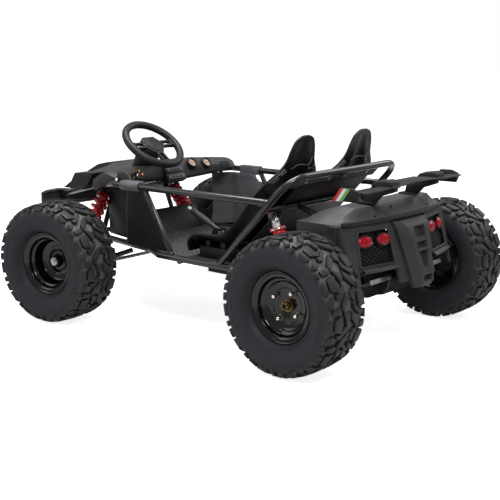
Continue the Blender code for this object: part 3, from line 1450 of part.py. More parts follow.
def make_lamps(mats):
    """Each side's pair of oval lamps on the strip that joins them."""
    back = GRILLE_RECESS - 3 * CLEARANCE
    for label, side in SIDES:
        ys = sorted((side * LAMP_INNER_SIDE, side * LAMP_OUTER_SIDE))
        low, high = LAMP_HEIGHT - LAMP_STRIP_HALF, LAMP_HEIGHT + LAMP_STRIP_HALF
        outline = [(ys[0], low), (ys[1], low), (ys[1], high), (ys[0], high)]
        strip = on_fascia("tail_lamps_" + label, outline, back - LAMP_DEPTH / 2, back, mats["lens"])
        ovals = []
        for middle in (LAMP_OUTER_SIDE, LAMP_INNER_SIDE):
            outline = []
            for i in range(LAMP_STEPS):
                turn = 2 * math.pi * i / LAMP_STEPS
                y = side * middle + LAMP_HALF_WIDTH * math.cos(turn)
                outline.append((y, LAMP_HEIGHT + LAMP_HALF_HEIGHT * math.sin(turn)))
            ovals.append(on_fascia("oval", outline, back - LAMP_DEPTH, back))
        fuse(strip, *ovals)


def on_fascia(name, outline, low, high, mat=None):
    """A prism that follows the fascia's curve, from an outline of (y, z) points."""
    return prism(name, outline, lambda u, v, w: (fascia_x(u, v) + w, u, v), low, high, mat)


def make_spine():
    outline = [
        (-SPINE_TOP_HALF, FASCIA_TOP_HEIGHT),
        (SPINE_TOP_HALF, FASCIA_TOP_HEIGHT),
        (SPINE_LOW_HALF, SPINE_LOW_HEIGHT),
        (-SPINE_LOW_HALF, SPINE_LOW_HEIGHT),
    ]
    return prism(
        "spine",
        outline,
        lambda u, v, w: (fascia_x(0, v) + w, u, v),
        -SPINE_DEPTH,
        FASCIA_THICKNESS / 2,
    )


def deck_point(along, y, drop=0.0):
    """A point of the deck: along runs from its front edge (0) to the fascia (1)."""
    front = REAR_X + DECK_FRONT_AHEAD
    x = front + (fascia_x(y, FASCIA_TOP_HEIGHT) - front) * along
    crown = 0.0
    for (a0, h0, _), (a1, h1, _) in zip(DECK_SHARES, DECK_SHARES[1:]):
        if a0 <= along <= a1:
            crown = h0 + (h1 - h0) * (along - a0) / (a1 - a0)
    fall = max(0.0, (abs(y) - DECK_RIDGE_SIDE) / (DECK_HALF_WIDTH - DECK_RIDGE_SIDE))
    z = DECK_EDGE_HEIGHT + DECK_RIDGE_RISE * crown * (1 - fall)
    return Vector((x, y, z - drop))


def make_deck(mats):
    rows = []
    for along, _, skirt in DECK_SHARES:
        ys = [share * DECK_HALF_WIDTH for share in DECK_ACROSS_SHARES]
        row = [deck_point(along, y) for y in ys]
        low = deck_point(along, ys[0], skirt * SKIRT_DROP)
        rows.append([low] + row + [Vector((low.x, -low.y, low.z))])
    skin("rear_deck", rows, DECK_THICKNESS, mats["plastic"])


def make_tail_frame(mats):
    """The tubes from the hoop brace back to the fascia, with tabs up to the deck."""
    start_x = hoop_leg_point(BRACE_HEIGHT, 1).x
    parts = []
    for _, side in SIDES:
        y = side * TAIL_TUBE_SIDE
        end = fascia_x(y, TAIL_TUBE_HEIGHT + BRACE_RADIUS) + GRILLE_RECESS + 3 / 2 * GRILLE_THICKNESS
        path = [
            (start_x, y, BRACE_HEIGHT),
            (REAR_X + DECK_FRONT_AHEAD, y, TAIL_TUBE_HEIGHT),
            (end, y, TAIL_TUBE_HEIGHT),
        ]
        parts.append(tube("stay", path, BRACE_RADIUS, bend=LOWER_RAIL_BEND))
        tab = deck_point(TAIL_TAB_ALONG, y)
        half = BRACE_RADIUS / 2
        top = tab.z - DECK_THICKNESS - 3 * CLEARANCE
        parts.append(box("tab", (tab.x - half, y - half, TAIL_TUBE_HEIGHT), (tab.x + half, y + half, top)))
    x = REAR_X + DECK_FRONT_AHEAD / 2
    across = [(x, TAIL_TUBE_SIDE, TAIL_TUBE_HEIGHT), (x, -TAIL_TUBE_SIDE, TAIL_TUBE_HEIGHT)]
    frame = tube("tail_frame", across, TAIL_CROSS_RADIUS, mats["tube"])
    fuse(frame, *parts)
    ends = [hoop_leg_point(BRACE_HEIGHT, side) for side in (1, -1)]
    cut(frame, tube("cope", ends, BRACE_RADIUS + CLEARANCE))


def make_wing(mats):
    x = REAR_X - WING_BEHIND
    z = WING_HEIGHT
    rings = []
    for across, chord, rise in WING_SHARES:
        half = WING_CHORD / 2 + (WING_STEP_CHORD - WING_CHORD) / 2 * chord
        low = z + rise * WING_STEP_RISE
        y = across * WING_HALF_SPAN
        top = low + WING_THICKNESS
        rings.append([(x - half, y, low), (x + half, y, low), (x + half, y, top), (x - half, y, top)])
    wing = loft("rear_wing", rings, mats["plastic"])
    parts = []
    for _, side in SIDES:
        outline = [
            (x - END_PLATE_LENGTH / 4, z - END_PLATE_HEIGHT / 2),
            (x + END_PLATE_LENGTH * 3 / 4, z - END_PLATE_HEIGHT / 3),
            (x + END_PLATE_LENGTH * 3 / 4, z + END_PLATE_HEIGHT / 2),
            (x - END_PLATE_LENGTH / 6, z + END_PLATE_HEIGHT / 2),
        ]
        ys = [side * WING_HALF_SPAN + way * END_PLATE_THICKNESS / 2 for way in (-1, 1)]
        parts.append(prism("plate", outline, lambda u, v, w: (u, w, v), ys[0], ys[1]))
        y = side * STRUT_SIDE
        foot_x = REAR_X - STRUT_BASE_BEHIND
        foot_z = max(deck_point(a, y).z for a in STRUT_FOOT_SHARES) + 2 * CLEARANCE
        strut_top = z + WING_STEP_RISE + WING_THICKNESS / 2
        strut = [
            (foot_x - STRUT_CHORD / 2, foot_z),
            (foot_x + STRUT_CHORD / 2, foot_z),
            (x + WING_CHORD / 3, strut_top),
            (x - WING_CHORD / 3, strut_top),
        ]
        half = STRUT_THICKNESS / 2
        parts.append(prism("strut", strut, lambda u, v, w: (u, w, v), y - half, y + half))
    fuse(wing, *parts)


def make_all():
    clear_scene()
    mats = make_materials()
    frame = make_lower_frame(mats)
    make_tower_ears(frame, mats)
    make_upper_frame(mats)
    make_floor(mats)
    make_battery(mats)
    make_seats(mats)
    make_bulkhead(mats)
    make_handbrake(mats)
    make_pedals(mats)
    make_side_panels(mats)
    make_steering_wheel(mats)
    make_column(mats)
    make_track_rod(mats)
    make_rack_housing(mats)
    make_front_arm(mats)
    for label, side in SIDES:
        axle = make_knuckle(label, side, mats)
        make_front_wheel(label, axle, mats)
        make_rear_wheel(label, side, mats)
    make_front_shocks(mats)
    make_rear_shocks(mats)
    make_rear_arm(mats)
    make_drive_unit(mats)
    make_dash(mats)
    make_nose(mats)
    make_bumper(mats)
    make_fascia(mats)
    make_grilles(mats)
    make_lamps(mats)
    make_deck(mats)
    make_tail_frame(mats)
    make_wing(mats)


make_all()
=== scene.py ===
"""Dresses a two-seat off-road kart with finishes and fine pieces, and sets up a studio round it.

Metres, X forward, Y to the driver's left, Z up. Each button in the sidebar makes one group of pieces.
"""

import json
import math

import bmesh
import bpy
from mathutils import Matrix, Vector


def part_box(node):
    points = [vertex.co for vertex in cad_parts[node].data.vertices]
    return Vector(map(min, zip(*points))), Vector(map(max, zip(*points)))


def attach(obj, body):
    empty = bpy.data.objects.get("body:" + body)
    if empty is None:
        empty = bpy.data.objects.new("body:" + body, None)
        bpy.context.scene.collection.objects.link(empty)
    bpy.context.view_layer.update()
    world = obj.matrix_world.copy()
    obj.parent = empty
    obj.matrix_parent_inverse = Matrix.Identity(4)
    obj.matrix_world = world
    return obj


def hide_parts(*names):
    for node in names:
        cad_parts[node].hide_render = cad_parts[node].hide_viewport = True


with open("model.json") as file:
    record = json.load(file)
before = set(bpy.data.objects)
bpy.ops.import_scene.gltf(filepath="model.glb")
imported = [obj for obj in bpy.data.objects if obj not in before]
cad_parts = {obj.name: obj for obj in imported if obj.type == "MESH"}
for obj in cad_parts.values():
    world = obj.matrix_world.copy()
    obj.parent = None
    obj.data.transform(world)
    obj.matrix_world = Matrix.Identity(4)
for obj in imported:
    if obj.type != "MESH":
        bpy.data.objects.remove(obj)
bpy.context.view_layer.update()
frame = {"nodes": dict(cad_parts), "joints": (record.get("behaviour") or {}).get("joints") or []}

bl_info = {
    "name": "Off-road kart dresser",
    "version": (1, 0, 0),
    "blender": (4, 5, 0),
    "location": "View3D > Sidebar > Kart",
    "description": "Makes the tyres, wheels, tubes, seats, panels and studio of a two-seat off-road kart",
    "category": "Object",
}

JOINTS = {joint["name"]: joint for joint in frame["joints"]}
SIDES = (("left", 1), ("right", -1))
TINY = 0.00002

# Places taken from the frame
REAR_AXLE = Vector(JOINTS["wheel_rear_left_spin"]["pos_m"])
KINGPIN = Vector(JOINTS["steer_left"]["pos_m"])
REAR_X = REAR_AXLE.x
FRONT_X = KINGPIN.x
AXLE_Z = REAR_AXLE.z
WHEEL_CENTRE = Vector(JOINTS["steering_wheel_turn"]["pos_m"])
WHEEL_UP = Vector(JOINTS["steering_wheel_turn"]["axis"]).normalized()
FLOOR_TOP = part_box("bulkhead")[0][2]
ON_FLOOR = FLOOR_TOP + 0.0003

# Tyres and rims
TYRE_RADIUS = 0.203
GIRTH = 0.105
TYRE_STEPS = 112
TYRE_PROFILE = (
    (0.000, 0.1920),
    (0.036, 0.1915),
    (0.060, 0.1895),
    (0.073, 0.1850),
    (0.0805, 0.1765),
    (0.0842, 0.1640),
    (0.0848, 0.1500),
    (0.0826, 0.1345),
    (0.0760, 0.1210),
    (0.0670, 0.1125),
    (0.0600, 0.1085),
    (0.0525, 0.1045),
)
BEAD = ((0.0480, 0.1000), (0.0450, 0.0960))
WALL_RINGS = ((0.1185, 0.0742), (0.1585, 0.0848))
WALL_RING_WIRE = 0.0011
LUG_UNITS = 11
LUG_SINK = 0.0015
LUG_INSET = 0.010
LUG_SHARES = (
    ((0.41, 0.22, 0.38), (0.50, 0.225, 0.39), (0.60, 0.23, 0.395), (0.68, 0.235, 0.39)),
    ((0.715, 0.235, 0.40), (0.76, 0.25, 0.39), (0.80, 0.27, 0.37), (0.845, 0.30, 0.34)),
    ((0.35, 0.46, 0.87), (0.43, 0.44, 0.87), (0.50, 0.46, 0.85), (0.57, 0.49, 0.83), (0.635, 0.53, 0.80)),
    ((0.665, 0.54, 0.86), (0.72, 0.52, 0.88), (0.785, 0.57, 0.82)),
    ((0.59, 0.92, 1.06), (0.655, 0.93, 1.17), (0.71, 1.00, 1.18), (0.78, 1.07, 1.12)),
    ((0.01, 0.88, 1.08), (0.10, 0.94, 1.15), (0.20, 1.03, 1.25), (0.32, 1.13, 1.34), (0.37, 1.20, 1.33)),
    ((0.04, 0.40, 0.58), (0.12, 0.41, 0.63), (0.19, 0.36, 0.70), (0.25, 0.34, 0.50), (0.30, 0.33, 0.43)),
    ((0.12, 0.70, 0.85), (0.22, 0.76, 0.91), (0.31, 0.84, 0.98), (0.38, 0.90, 1.04), (0.52, 0.90, 1.02)),
)
RIM_STEPS = 96
FRONT_DISC = -0.008
REAR_DISC = 0.022
DISC_THICKNESS = 0.006
HUB_RADIUS = 0.019
NUT_CIRCLE = 0.045
NUT_RADIUS = 0.0068
NUT_LENGTH = 0.020
NUT_TURN = math.radians(30)
SHAFT_INNER = 0.0565 - 0.419
SHAFT_RADIUS = 0.0125
SHAFT_FLANGE = 0.055
CAP_PROFILE = (
    (-0.004, 0.0),
    (-0.004, 0.0135),
    (0.0015, 0.0140),
    (0.003, 0.0120),
    (0.0015, 0.0100),
    (0.0015, 0.0080),
    (0.006, 0.0068),
    (0.006, 0.0),
)
SEAT_RING_PROFILE = ((0.0002, 0.0096), (0.003, 0.0092), (0.0036, 0.0080), (0.003, 0.0066))
CASTLE_RADIUS = 0.0155
CASTLE_TOOTH = ((0.0068, 0.0095, -0.0036), (0.0130, 0.0160, 0.0036))
CASTLE_WASHER = ((0.0, 0.0185), (0.002, 0.0180), (0.002, 0.014))

# Frame tubes
TUBE = 0.011
BRACE = 0.009
HALF_WIDTH = 0.300
LOWER_Z = 0.238
UPPER_Z = 0.458
CROSS_Z = 0.228
HOOP_Z = 0.537
BRACE_Z = 0.430
HOOP_FOOT_AHEAD = 0.392
HOOP_TOP_AHEAD = 0.104
TOWER_X = FRONT_X + 0.067
PLATE = 0.006
PLATE_GAP = 0.0123
TOWER_BAR_Z = 0.428
TOWER_BAR_HALF = 0.12
TOWER_PLATE = (0.388, 0.412)
FRONT_DAMPER_TOP = (0.164, 0.400)
FRONT_DAMPER_LOW = (0.300, 0.225)
REAR_DAMPER_SIDE = 0.228
REAR_DAMPER_TOP = (0.222, 0.408)
REAR_DAMPER_LOW = (0.165, 0.246)
PILLAR_BACK = 0.401
PILLAR_LEAN = 0.129
CROSS_TUBES = (REAR_X + 0.296, REAR_X + 0.563, FRONT_X + 0.194)
HOOP_SHEET_LEVELS = (0.532, 0.515, 0.496)
HOOP_SHEET_SIDES = (-0.222, -0.075, 0.075, 0.222)
HOOP_BOLT_SIDES = (-0.16, -0.03, 0.05, 0.17)
HOOP_BOLT_Z = 0.512

# Seats
SEAT_SIDE = 0.157
SEAT_HALF = 0.124
SEAT_WALL = 0.006
SEAT_RISE = 0.652 - FLOOR_TOP
SEAT_FRONT_X = REAR_X + 0.545
SEAT_TOP_X = REAR_X + 0.150
SEAT_BOLSTER = 0.072
SEAT_SHARES = (
    (1.0, 0.048, 0.90, 0.0),
    (0.990, 0.095, 0.95, 0.05),
    (0.966, 0.131, 0.98, 0.12),
    (0.882, 0.152, 1.00, 0.28),
    (0.768, 0.141, 1.00, 0.40),
    (0.654, 0.126, 1.00, 0.50),
    (0.561, 0.153, 1.00, 0.50),
    (0.477, 0.226, 1.00, 0.42),
    (0.394, 0.317, 1.00, 0.36),
    (0.300, 0.422, 1.00, 0.38),
    (0.211, 0.519, 1.00, 0.38),
    (0.1405, 0.617, 0.98, 0.27),
    (0.105, 0.683, 0.90, 0.14),
    (0.080, 0.744, 0.73, 0.06),
    (0.0595, 0.812, 0.56, 0.02),
    (0.0367, 0.8975, 0.47, 0.0),
    (0.019, 0.9585, 0.37, 0.0),
    (0.006, 0.988, 0.25, 0.0),
    (0.0, 1.0, 0.10, 0.0),
)
SEAT_FEET = (0.688, 0.854)
SEAT_FOOT_SIDE = 0.072
SEAT_BASE = (-0.165, -0.030)
SEAT_BASE_HALF = 0.095
SEAT_SLOTS = (
    ((11.6, 0.84), (12.3, 0.76), (13.3, 0.62)),
    ((11.4, 0.66), (11.8, 0.62), (12.2, 0.56)),
    ((12.4, 0.54), (12.7, 0.49), (13.1, 0.42)),
)
SEAT_CLIP = ((13.3, 0.30), (13.5, 0.0), (13.6, -0.25), (14.2, -0.50))
SEAT_BOLTS = ((13.1, -0.30), (13.2, -0.72), (9.4, 0.45), (9.4, -0.45))
SEAT_ACROSS_SHARES = ((-1, 1), (-0.88, 0.60), (-0.62, 0.15), (0, 0), (0.62, 0.15), (0.88, 0.60), (1, 1))

# Tail
DECK_FRONT_X = REAR_X + 0.084
DECK_HALF = 0.289
DECK_RIDGE_SIDE = 0.205
DECK_EDGE_Z = 0.414
DECK_RISE = 0.041
DECK_PLATEAU = 0.125
FASCIA_TOP = 0.4085
FASCIA_LOW = 0.228
FASCIA_MIDDLE = 0.366
FASCIA_BACK = 0.132
FASCIA_BOW = 0.050
FASCIA_LEAN = 0.26
LAMP_Z = 0.3625
LAMP_SIDES = (0.213, 0.139)
LENS = (0.0258, 0.0158)
LENS_RIM = (0.0264, 0.0164)
LAMP_CUP = (0.0295, 0.0195)
LENS_RINGS = ((1.0, -0.010), (1.0, 0.0015), (0.86, 0.0042), (0.62, 0.0062), (0.3, 0.0074), (0.02, 0.0078))
WINDOW = (0.106, 0.250, 0.287, 0.395)
RECESS = 0.015
WING_X = REAR_X - 0.128
WING_Z = 0.512

COLOUR = {"subtype": "COLOR", "size": 3}


class KartLooks(bpy.types.PropertyGroup):
    """The colours that a user would change."""

    tube: bpy.props.FloatVectorProperty(
        name="Tube", description="Powder coat of the tubes", default=(0.012, 0.012, 0.013), **COLOUR
    )
    plastic: bpy.props.FloatVectorProperty(
        name="Plastic", description="Moulded tail, nose and dash", default=(0.034, 0.034, 0.036), **COLOUR
    )
    panel: bpy.props.FloatVectorProperty(
        name="Panel", description="Side panels", default=(0.075, 0.075, 0.081), **COLOUR
    )
    seat: bpy.props.FloatVectorProperty(
        name="Seat", description="Bucket seats", default=(0.006, 0.006, 0.007), **COLOUR
    )
    spring: bpy.props.FloatVectorProperty(
        name="Spring", description="Coil springs", default=(0.62, 0.006, 0.016), **COLOUR
    )
    lamp: bpy.props.FloatVectorProperty(
        name="Lamp", description="Tail lamp lenses", default=(0.55, 0.004, 0.016), **COLOUR
    )
    stripes: bpy.props.BoolProperty(
        name="Stripes", description="Stripes on the wing's end plates", default=True
    )


class KartSizes(bpy.types.PropertyGroup):
    """The sizes of fine pieces that a user would change."""

    lug_depth: bpy.props.FloatProperty(
        name="Lug depth",
        description="Height of the tread lugs",
        default=0.011,
        min=0.004,
        max=0.011,
        unit="LENGTH",
    )
    spring_wire: bpy.props.FloatProperty(
        name="Spring wire",
        description="Radius of the springs' wire",
        default=0.0052,
        min=0.002,
        unit="LENGTH",
    )
    spring_coils: bpy.props.IntProperty(
        name="Spring coils", description="Turns of each spring", default=8, min=3
    )
    mesh_pitch: bpy.props.FloatProperty(
        name="Mesh pitch",
        description="Spacing of the tail grille's bars",
        default=0.0125,
        min=0.006,
        unit="LENGTH",
    )


# Materials
def looks():
    return bpy.context.scene.kart_looks


def sizes():
    return bpy.context.scene.kart_sizes


def add(tree, kind, **values):
    node = tree.nodes.new(kind)
    for name, value in values.items():
        node.inputs[name.replace("_", " ")].default_value = value
    return node


def cloud(tree, scale, detail=3.0, stretch=(1.0, 1.0, 1.0)):
    """Noise in the piece's own coordinates."""
    place = tree.nodes.new("ShaderNodeTexCoord")
    fit = add(tree, "ShaderNodeMapping", Scale=stretch)
    noise = add(tree, "ShaderNodeTexNoise", Scale=scale, Detail=detail)
    tree.links.new(place.outputs["Object"], fit.inputs["Vector"])
    tree.links.new(fit.outputs["Vector"], noise.inputs["Vector"])
    return noise.outputs["Fac"]


def ramp(tree, source, stops):
    node = tree.nodes.new("ShaderNodeValToRGB")
    elements = node.color_ramp.elements
    for index, (at, colour) in enumerate(stops):
        element = elements[index] if index < 2 else elements.new(at)
        element.position = at
        element.color = (*colour, 1.0)
    tree.links.new(source, node.inputs["Fac"])
    return node.outputs["Color"]


def spread(tree, source, low, high):
    node = add(tree, "ShaderNodeMapRange", To_Min=low, To_Max=high)
    tree.links.new(source, node.inputs["Value"])
    return node.outputs["Result"]


def raise_bumps(tree, shader, source, strength, distance):
    bump = add(tree, "ShaderNodeBump", Strength=strength, Distance=distance)
    tree.links.new(source, bump.inputs["Height"])
    tree.links.new(bump.outputs["Normal"], shader.inputs["Normal"])


def scaled(colour, factor):
    return tuple(min(1.0, part * factor) for part in colour)


def finish(
    name,
    colour,
    rough,
    metallic=0.0,
    coat=0.0,
    shine=0.35,
    vary=0.22,
    patch=16.0,
    grain=900.0,
    bump=0.12,
    stretch=(1.0, 1.0, 1.0),
):
    """A finish with cloudy colour and gloss and a fine grain, made once."""
    found = bpy.data.materials.get(name)
    if found:
        return found
    mat = bpy.data.materials.new(name)
    mat.use_nodes = True
    tree = mat.node_tree
    shader = tree.nodes["Principled BSDF"]
    patches = cloud(tree, patch, 4.0, stretch)
    stops = ((0.3, scaled(colour, 1 - vary)), (0.7, scaled(colour, 1 + vary)))
    tree.links.new(ramp(tree, patches, stops), shader.inputs["Base Color"])
    tree.links.new(spread(tree, patches, rough - 0.05, rough + 0.05), shader.inputs["Roughness"])
    raise_bumps(tree, shader, cloud(tree, grain, 2.0, stretch), bump, 0.0004)
    shader.inputs["Metallic"].default_value = metallic
    shader.inputs["Specular IOR Level"].default_value = shine
    shader.inputs["Coat Weight"].default_value = coat
    shader.inputs["Coat Roughness"].default_value = 0.12
    mat.diffuse_color = (*colour, 1.0)
    return mat


def tube_coat():
    return finish("tube_coat", looks().tube, 0.26, coat=0.55, grain=420.0, bump=0.10)


def moulded_black():
    return finish("moulded_black", looks().plastic, 0.50, grain=1500.0, bump=0.25)


# The deck's top in a lighter copy of the tail plastic: painted light where the top faces the lamps.
def deck_painted_light():
    return finish("deck_painted_light", scaled(looks().plastic, 1.55), 0.46, grain=1500.0, bump=0.25)


def moulded_dark():
    return finish("moulded_dark", (0.009, 0.009, 0.010), 0.48, grain=1500.0, bump=0.25)


def moulded_grey():
    return finish("moulded_grey", looks().panel, 0.48, grain=1300.0, bump=0.22)


# A lighter copy of the panel colour; on the right side panel it is painted light.
def panel_grey():
    return finish("panel_grey", scaled(looks().panel, 1.45), 0.40, grain=1300.0, bump=0.2)


def seat_black():
    return finish("seat_black", looks().seat, 0.38, grain=700.0, bump=0.10)


def rim_gloss():
    return finish("rim_gloss", (0.0022, 0.0022, 0.0028), 0.08, shine=0.5, grain=160.0, bump=0.02)


def zinc():
    brushed = (1.0, 6.0, 1.0)
    return finish("zinc", (0.55, 0.55, 0.56), 0.33, metallic=1.0, grain=300.0, bump=0.08, stretch=brushed)


def chrome():
    return finish("chrome", (0.86, 0.87, 0.89), 0.12, metallic=1.0, vary=0.05, bump=0.02)


def brass():
    return finish("brass", (0.20, 0.13, 0.06), 0.32, metallic=1.0, grain=500.0)


def copper():
    return finish("copper_part", (0.45, 0.19, 0.10), 0.35, metallic=0.9, grain=500.0)


def black_metal():
    return finish("black_metal", (0.013, 0.013, 0.014), 0.45, metallic=0.2, grain=500.0, bump=0.2)


def red_coat():
    return finish("red_coat", looks().spring, 0.25, coat=0.5, vary=0.12, grain=300.0, bump=0.05)


def label_red():
    return finish("label_red", (0.62, 0.03, 0.035), 0.35, vary=0.08)


def body_white():
    return finish("body_white", (0.75, 0.75, 0.77), 0.28, coat=0.4, vary=0.06)


def stripe(name, colour):
    return finish("stripe_" + name, colour, 0.35, coat=0.3, vary=0.06, bump=0.05)


def dial_tan():
    return finish("dial_tan", (0.42, 0.31, 0.23), 0.45, vary=0.10)


def grip_grey():
    return finish("grip_grey", (0.055, 0.048, 0.048), 0.55, grain=700.0, bump=0.4)


def lamp_red():
    """A clear red lens with a honeycomb behind it."""
    found = bpy.data.materials.get("lamp_red")
    if found:
        return found
    mat = finish("lamp_red", looks().lamp, 0.18, shine=0.3, vary=0.15)
    tree = mat.node_tree
    shader = tree.nodes["Principled BSDF"]
    place = tree.nodes.new("ShaderNodeTexCoord")
    cells = add(tree, "ShaderNodeTexVoronoi", Scale=190.0, Randomness=0.0)
    tree.links.new(place.outputs["Object"], cells.inputs["Vector"])
    dark, light = scaled(looks().lamp, 0.35), scaled(looks().lamp, 1.25)
    tint = ramp(tree, cells.outputs["Distance"], ((0.0, light), (0.75, dark)))
    tree.links.new(tint, shader.inputs["Base Color"])
    return mat


def rubber():
    """Dark sidewalls that turn to dusty warm grey between the lugs, by distance from the axle."""
    found = bpy.data.materials.get("rubber")
    if found:
        return found
    mat = bpy.data.materials.new("rubber")
    mat.use_nodes = True
    tree = mat.node_tree
    shader = tree.nodes["Principled BSDF"]
    place = tree.nodes.new("ShaderNodeTexCoord")
    flat = tree.nodes.new("ShaderNodeVectorMath")
    flat.operation = "MULTIPLY"
    flat.inputs[1].default_value = (1.0, 0.0, 1.0)
    reach = tree.nodes.new("ShaderNodeVectorMath")
    reach.operation = "LENGTH"
    tree.links.new(place.outputs["Object"], flat.inputs[0])
    tree.links.new(flat.outputs["Vector"], reach.inputs[0])
    share = add(tree, "ShaderNodeMapRange", From_Min=0.10, From_Max=TYRE_RADIUS)
    tree.links.new(reach.outputs["Value"], share.inputs["Value"])
    dust = cloud(tree, 30.0, 5.0)
    mixed = tree.nodes.new("ShaderNodeMath")
    mixed.operation = "MULTIPLY_ADD"
    mixed.inputs[1].default_value = 0.12
    tree.links.new(dust, mixed.inputs[0])
    tree.links.new(share.outputs["Result"], mixed.inputs[2])
    stops = (
        (0.0, (0.030, 0.030, 0.037)),
        (0.20, (0.017, 0.017, 0.021)),
        (0.55, (0.024, 0.0245, 0.030)),
        (0.78, (0.026, 0.026, 0.030)),
        (0.90, (0.105, 0.093, 0.084)),
        (1.0, (0.120, 0.107, 0.097)),
    )
    tree.links.new(ramp(tree, mixed.outputs["Value"], stops), shader.inputs["Base Color"])
    tree.links.new(spread(tree, dust, 0.52, 0.72), shader.inputs["Roughness"])
    raise_bumps(tree, shader, cloud(tree, 700.0, 3.0), 0.25, 0.0005)
    shader.inputs["Specular IOR Level"].default_value = 0.3
    return mat


def lug_rubber():
    return finish("lug_rubber", (0.020, 0.0195, 0.020), 0.50, vary=0.35, patch=60.0, grain=800.0, bump=0.3)


def floor_mat():
    """Dark grey rubber with worn tops."""
    return finish("floor_mat", (0.095, 0.095, 0.102), 0.50, vary=0.35, patch=40.0, grain=600.0, bump=0.3)


# Shaping tools
def smooth_group(degrees):
    """The node group that shades a mesh smooth with sharp edges past an angle."""
    name = "smooth_to_%d" % degrees
    found = bpy.data.node_groups.get(name)
    if found:
        return found
    group = bpy.data.node_groups.new(name, "GeometryNodeTree")
    group.interface.new_socket("Geometry", in_out="INPUT", socket_type="NodeSocketGeometry")
    group.interface.new_socket("Geometry", in_out="OUTPUT", socket_type="NodeSocketGeometry")
    start = group.nodes.new("NodeGroupInput")
    end = group.nodes.new("NodeGroupOutput")
    angle = group.nodes.new("GeometryNodeInputMeshEdgeAngle")
    flat = group.nodes.new("FunctionNodeCompare")
    flat.data_type = "FLOAT"
    flat.operation = "LESS_EQUAL"
    flat.inputs["B"].default_value = math.radians(degrees)
    edges = group.nodes.new("GeometryNodeSetShadeSmooth")
    edges.domain = "EDGE"
    faces = group.nodes.new("GeometryNodeSetShadeSmooth")
    faces.domain = "FACE"
    group.links.new(angle.outputs["Unsigned Angle"], flat.inputs["A"])
    group.links.new(flat.outputs["Result"], edges.inputs["Shade Smooth"])
    group.links.new(start.outputs["Geometry"], edges.inputs["Geometry"])
    group.links.new(edges.outputs["Geometry"], faces.inputs["Geometry"])
    group.links.new(faces.outputs["Geometry"], end.inputs["Geometry"])
    return group


def soften(obj, bevel=0.0, sharp=36):
    """Rounds the sharp edges and shades the rest smooth."""
    if bevel:
        edge = obj.modifiers.new("edges", "BEVEL")
        edge.width = bevel
        edge.segments = 2
        edge.limit_method = "ANGLE"
        edge.angle_limit = math.radians(sharp + 2)
        edge.use_clamp_overlap = True
    obj.modifiers.new("shading", "NODES").node_group = smooth_group(sharp)


def piece(
    name,
    bm,
    mats,
    body="chassis",
    replaces=(),
    wall=0.0,
    bevel=0.0,
    place=None,
    sharp=36,
):
    """Makes an object of the mesh, rides it on its body and hides the frame parts that it replaces."""
    mesh = bpy.data.meshes.new(name)
    bmesh.ops.recalc_face_normals(bm, faces=bm.faces)
    bm.to_mesh(mesh)
    bm.free()
    for mat in mats if isinstance(mats, (list, tuple)) else [mats]:
        mesh.materials.append(mat)
    obj = bpy.data.objects.new(name, mesh)
    bpy.context.scene.collection.objects.link(obj)
    if place:
        obj.matrix_basis = place
    if wall:
        shell = obj.modifiers.new("wall", "SOLIDIFY")
        shell.thickness = wall
        shell.offset = 0.0
        shell.use_even_offset = True
    soften(obj, bevel, sharp)
    bpy.context.view_layer.update()
    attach(obj, body)
    if replaces:
        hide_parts(*replaces)
    return obj


def dress(node, mat, bevel=0.0):
    """Gives a frame node its finish and rounds its edges without moving a vertex."""
    obj = frame["nodes"][node]
    obj.data.materials.clear()
    obj.data.materials.append(mat)
    weld = obj.modifiers.new("weld", "WELD")
    weld.merge_threshold = TINY
    soften(obj, bevel)


def curve_through(points, steps=4, closed=False):
    """Catmull-Rom samples through points of any length."""
    points = [Vector(p) for p in points]
    count = len(points)
    found = []
    for i in range(count if closed else count - 1):
        if closed:
            p0, p1, p2, p3 = (points[(i + k) % count] for k in (-1, 0, 1, 2))
        else:
            p1, p2 = points[i], points[i + 1]
            p0 = points[i - 1] if i else p1 * 2 - p2
            p3 = points[i + 2] if i + 2 < count else p2 * 2 - p1
        for step in range(steps):
            t = step / steps
            square = p0 * 2 - p1 * 5 + p2 * 4 - p3
            cube = p1 * 3 - p0 - p2 * 3 + p3
            found.append((p1 * 2 + (p2 - p0) * t + square * t**2 + cube * t**3) / 2)
    if not closed:
        found.append(points[-1])
    return found


def rounded(points, bend, steps=8):
    """The path through the points, with each corner replaced by an arc of this radius."""
    corners = [Vector(p) for p in points]
    path = [corners[0]]
    for before, corner, after in zip(corners, corners[1:], corners[2:]):
        back = (before - corner).normalized()
        ahead = (after - corner).normalized()
        half = back.angle(ahead) / 2
        shorter = min((before - corner).length, (after - corner).length)
        reach = min(bend / math.tan(half), shorter * 0.45)
        radius = reach * math.tan(half)
        centre = corner + (back + ahead).normalized() * (radius / math.sin(half))
        start = corner + back * reach - centre
        turn = start.rotation_difference(corner + ahead * reach - centre)
        for step in range(steps + 1):
            path.append(centre + Matrix.Rotation(turn.angle * step / steps, 3, turn.axis) @ start)
    path.append(corners[-1])
    return path


def bridge(bm, rings, closed_ring=True, closed_path=False, caps=False, mat=0):
    """Faces between rings of vertices of equal length."""
    count = len(rings)
    size = len(rings[0])
    for i in range(count if closed_path else count - 1):
        near, far = rings[i], rings[(i + 1) % count]
        for j in range(size if closed_ring else size - 1):
            k = (j + 1) % size
            bm.faces.new((near[j], near[k], far[k], far[j])).material_index = mat
    if caps:
        bm.faces.new(list(reversed(rings[0]))).material_index = mat
        bm.faces.new(rings[-1]).material_index = mat


def turns(steps):
    """The cosine and sine of evenly spaced turns."""
    angles = [2 * math.pi * i / steps for i in range(steps)]
    return [(math.cos(angle), math.sin(angle)) for angle in angles]


def oval(centre, across, up, steps):
    """Points of an oval with these two half axes."""
    return [centre + across * c + up * s for c, s in turns(steps)]


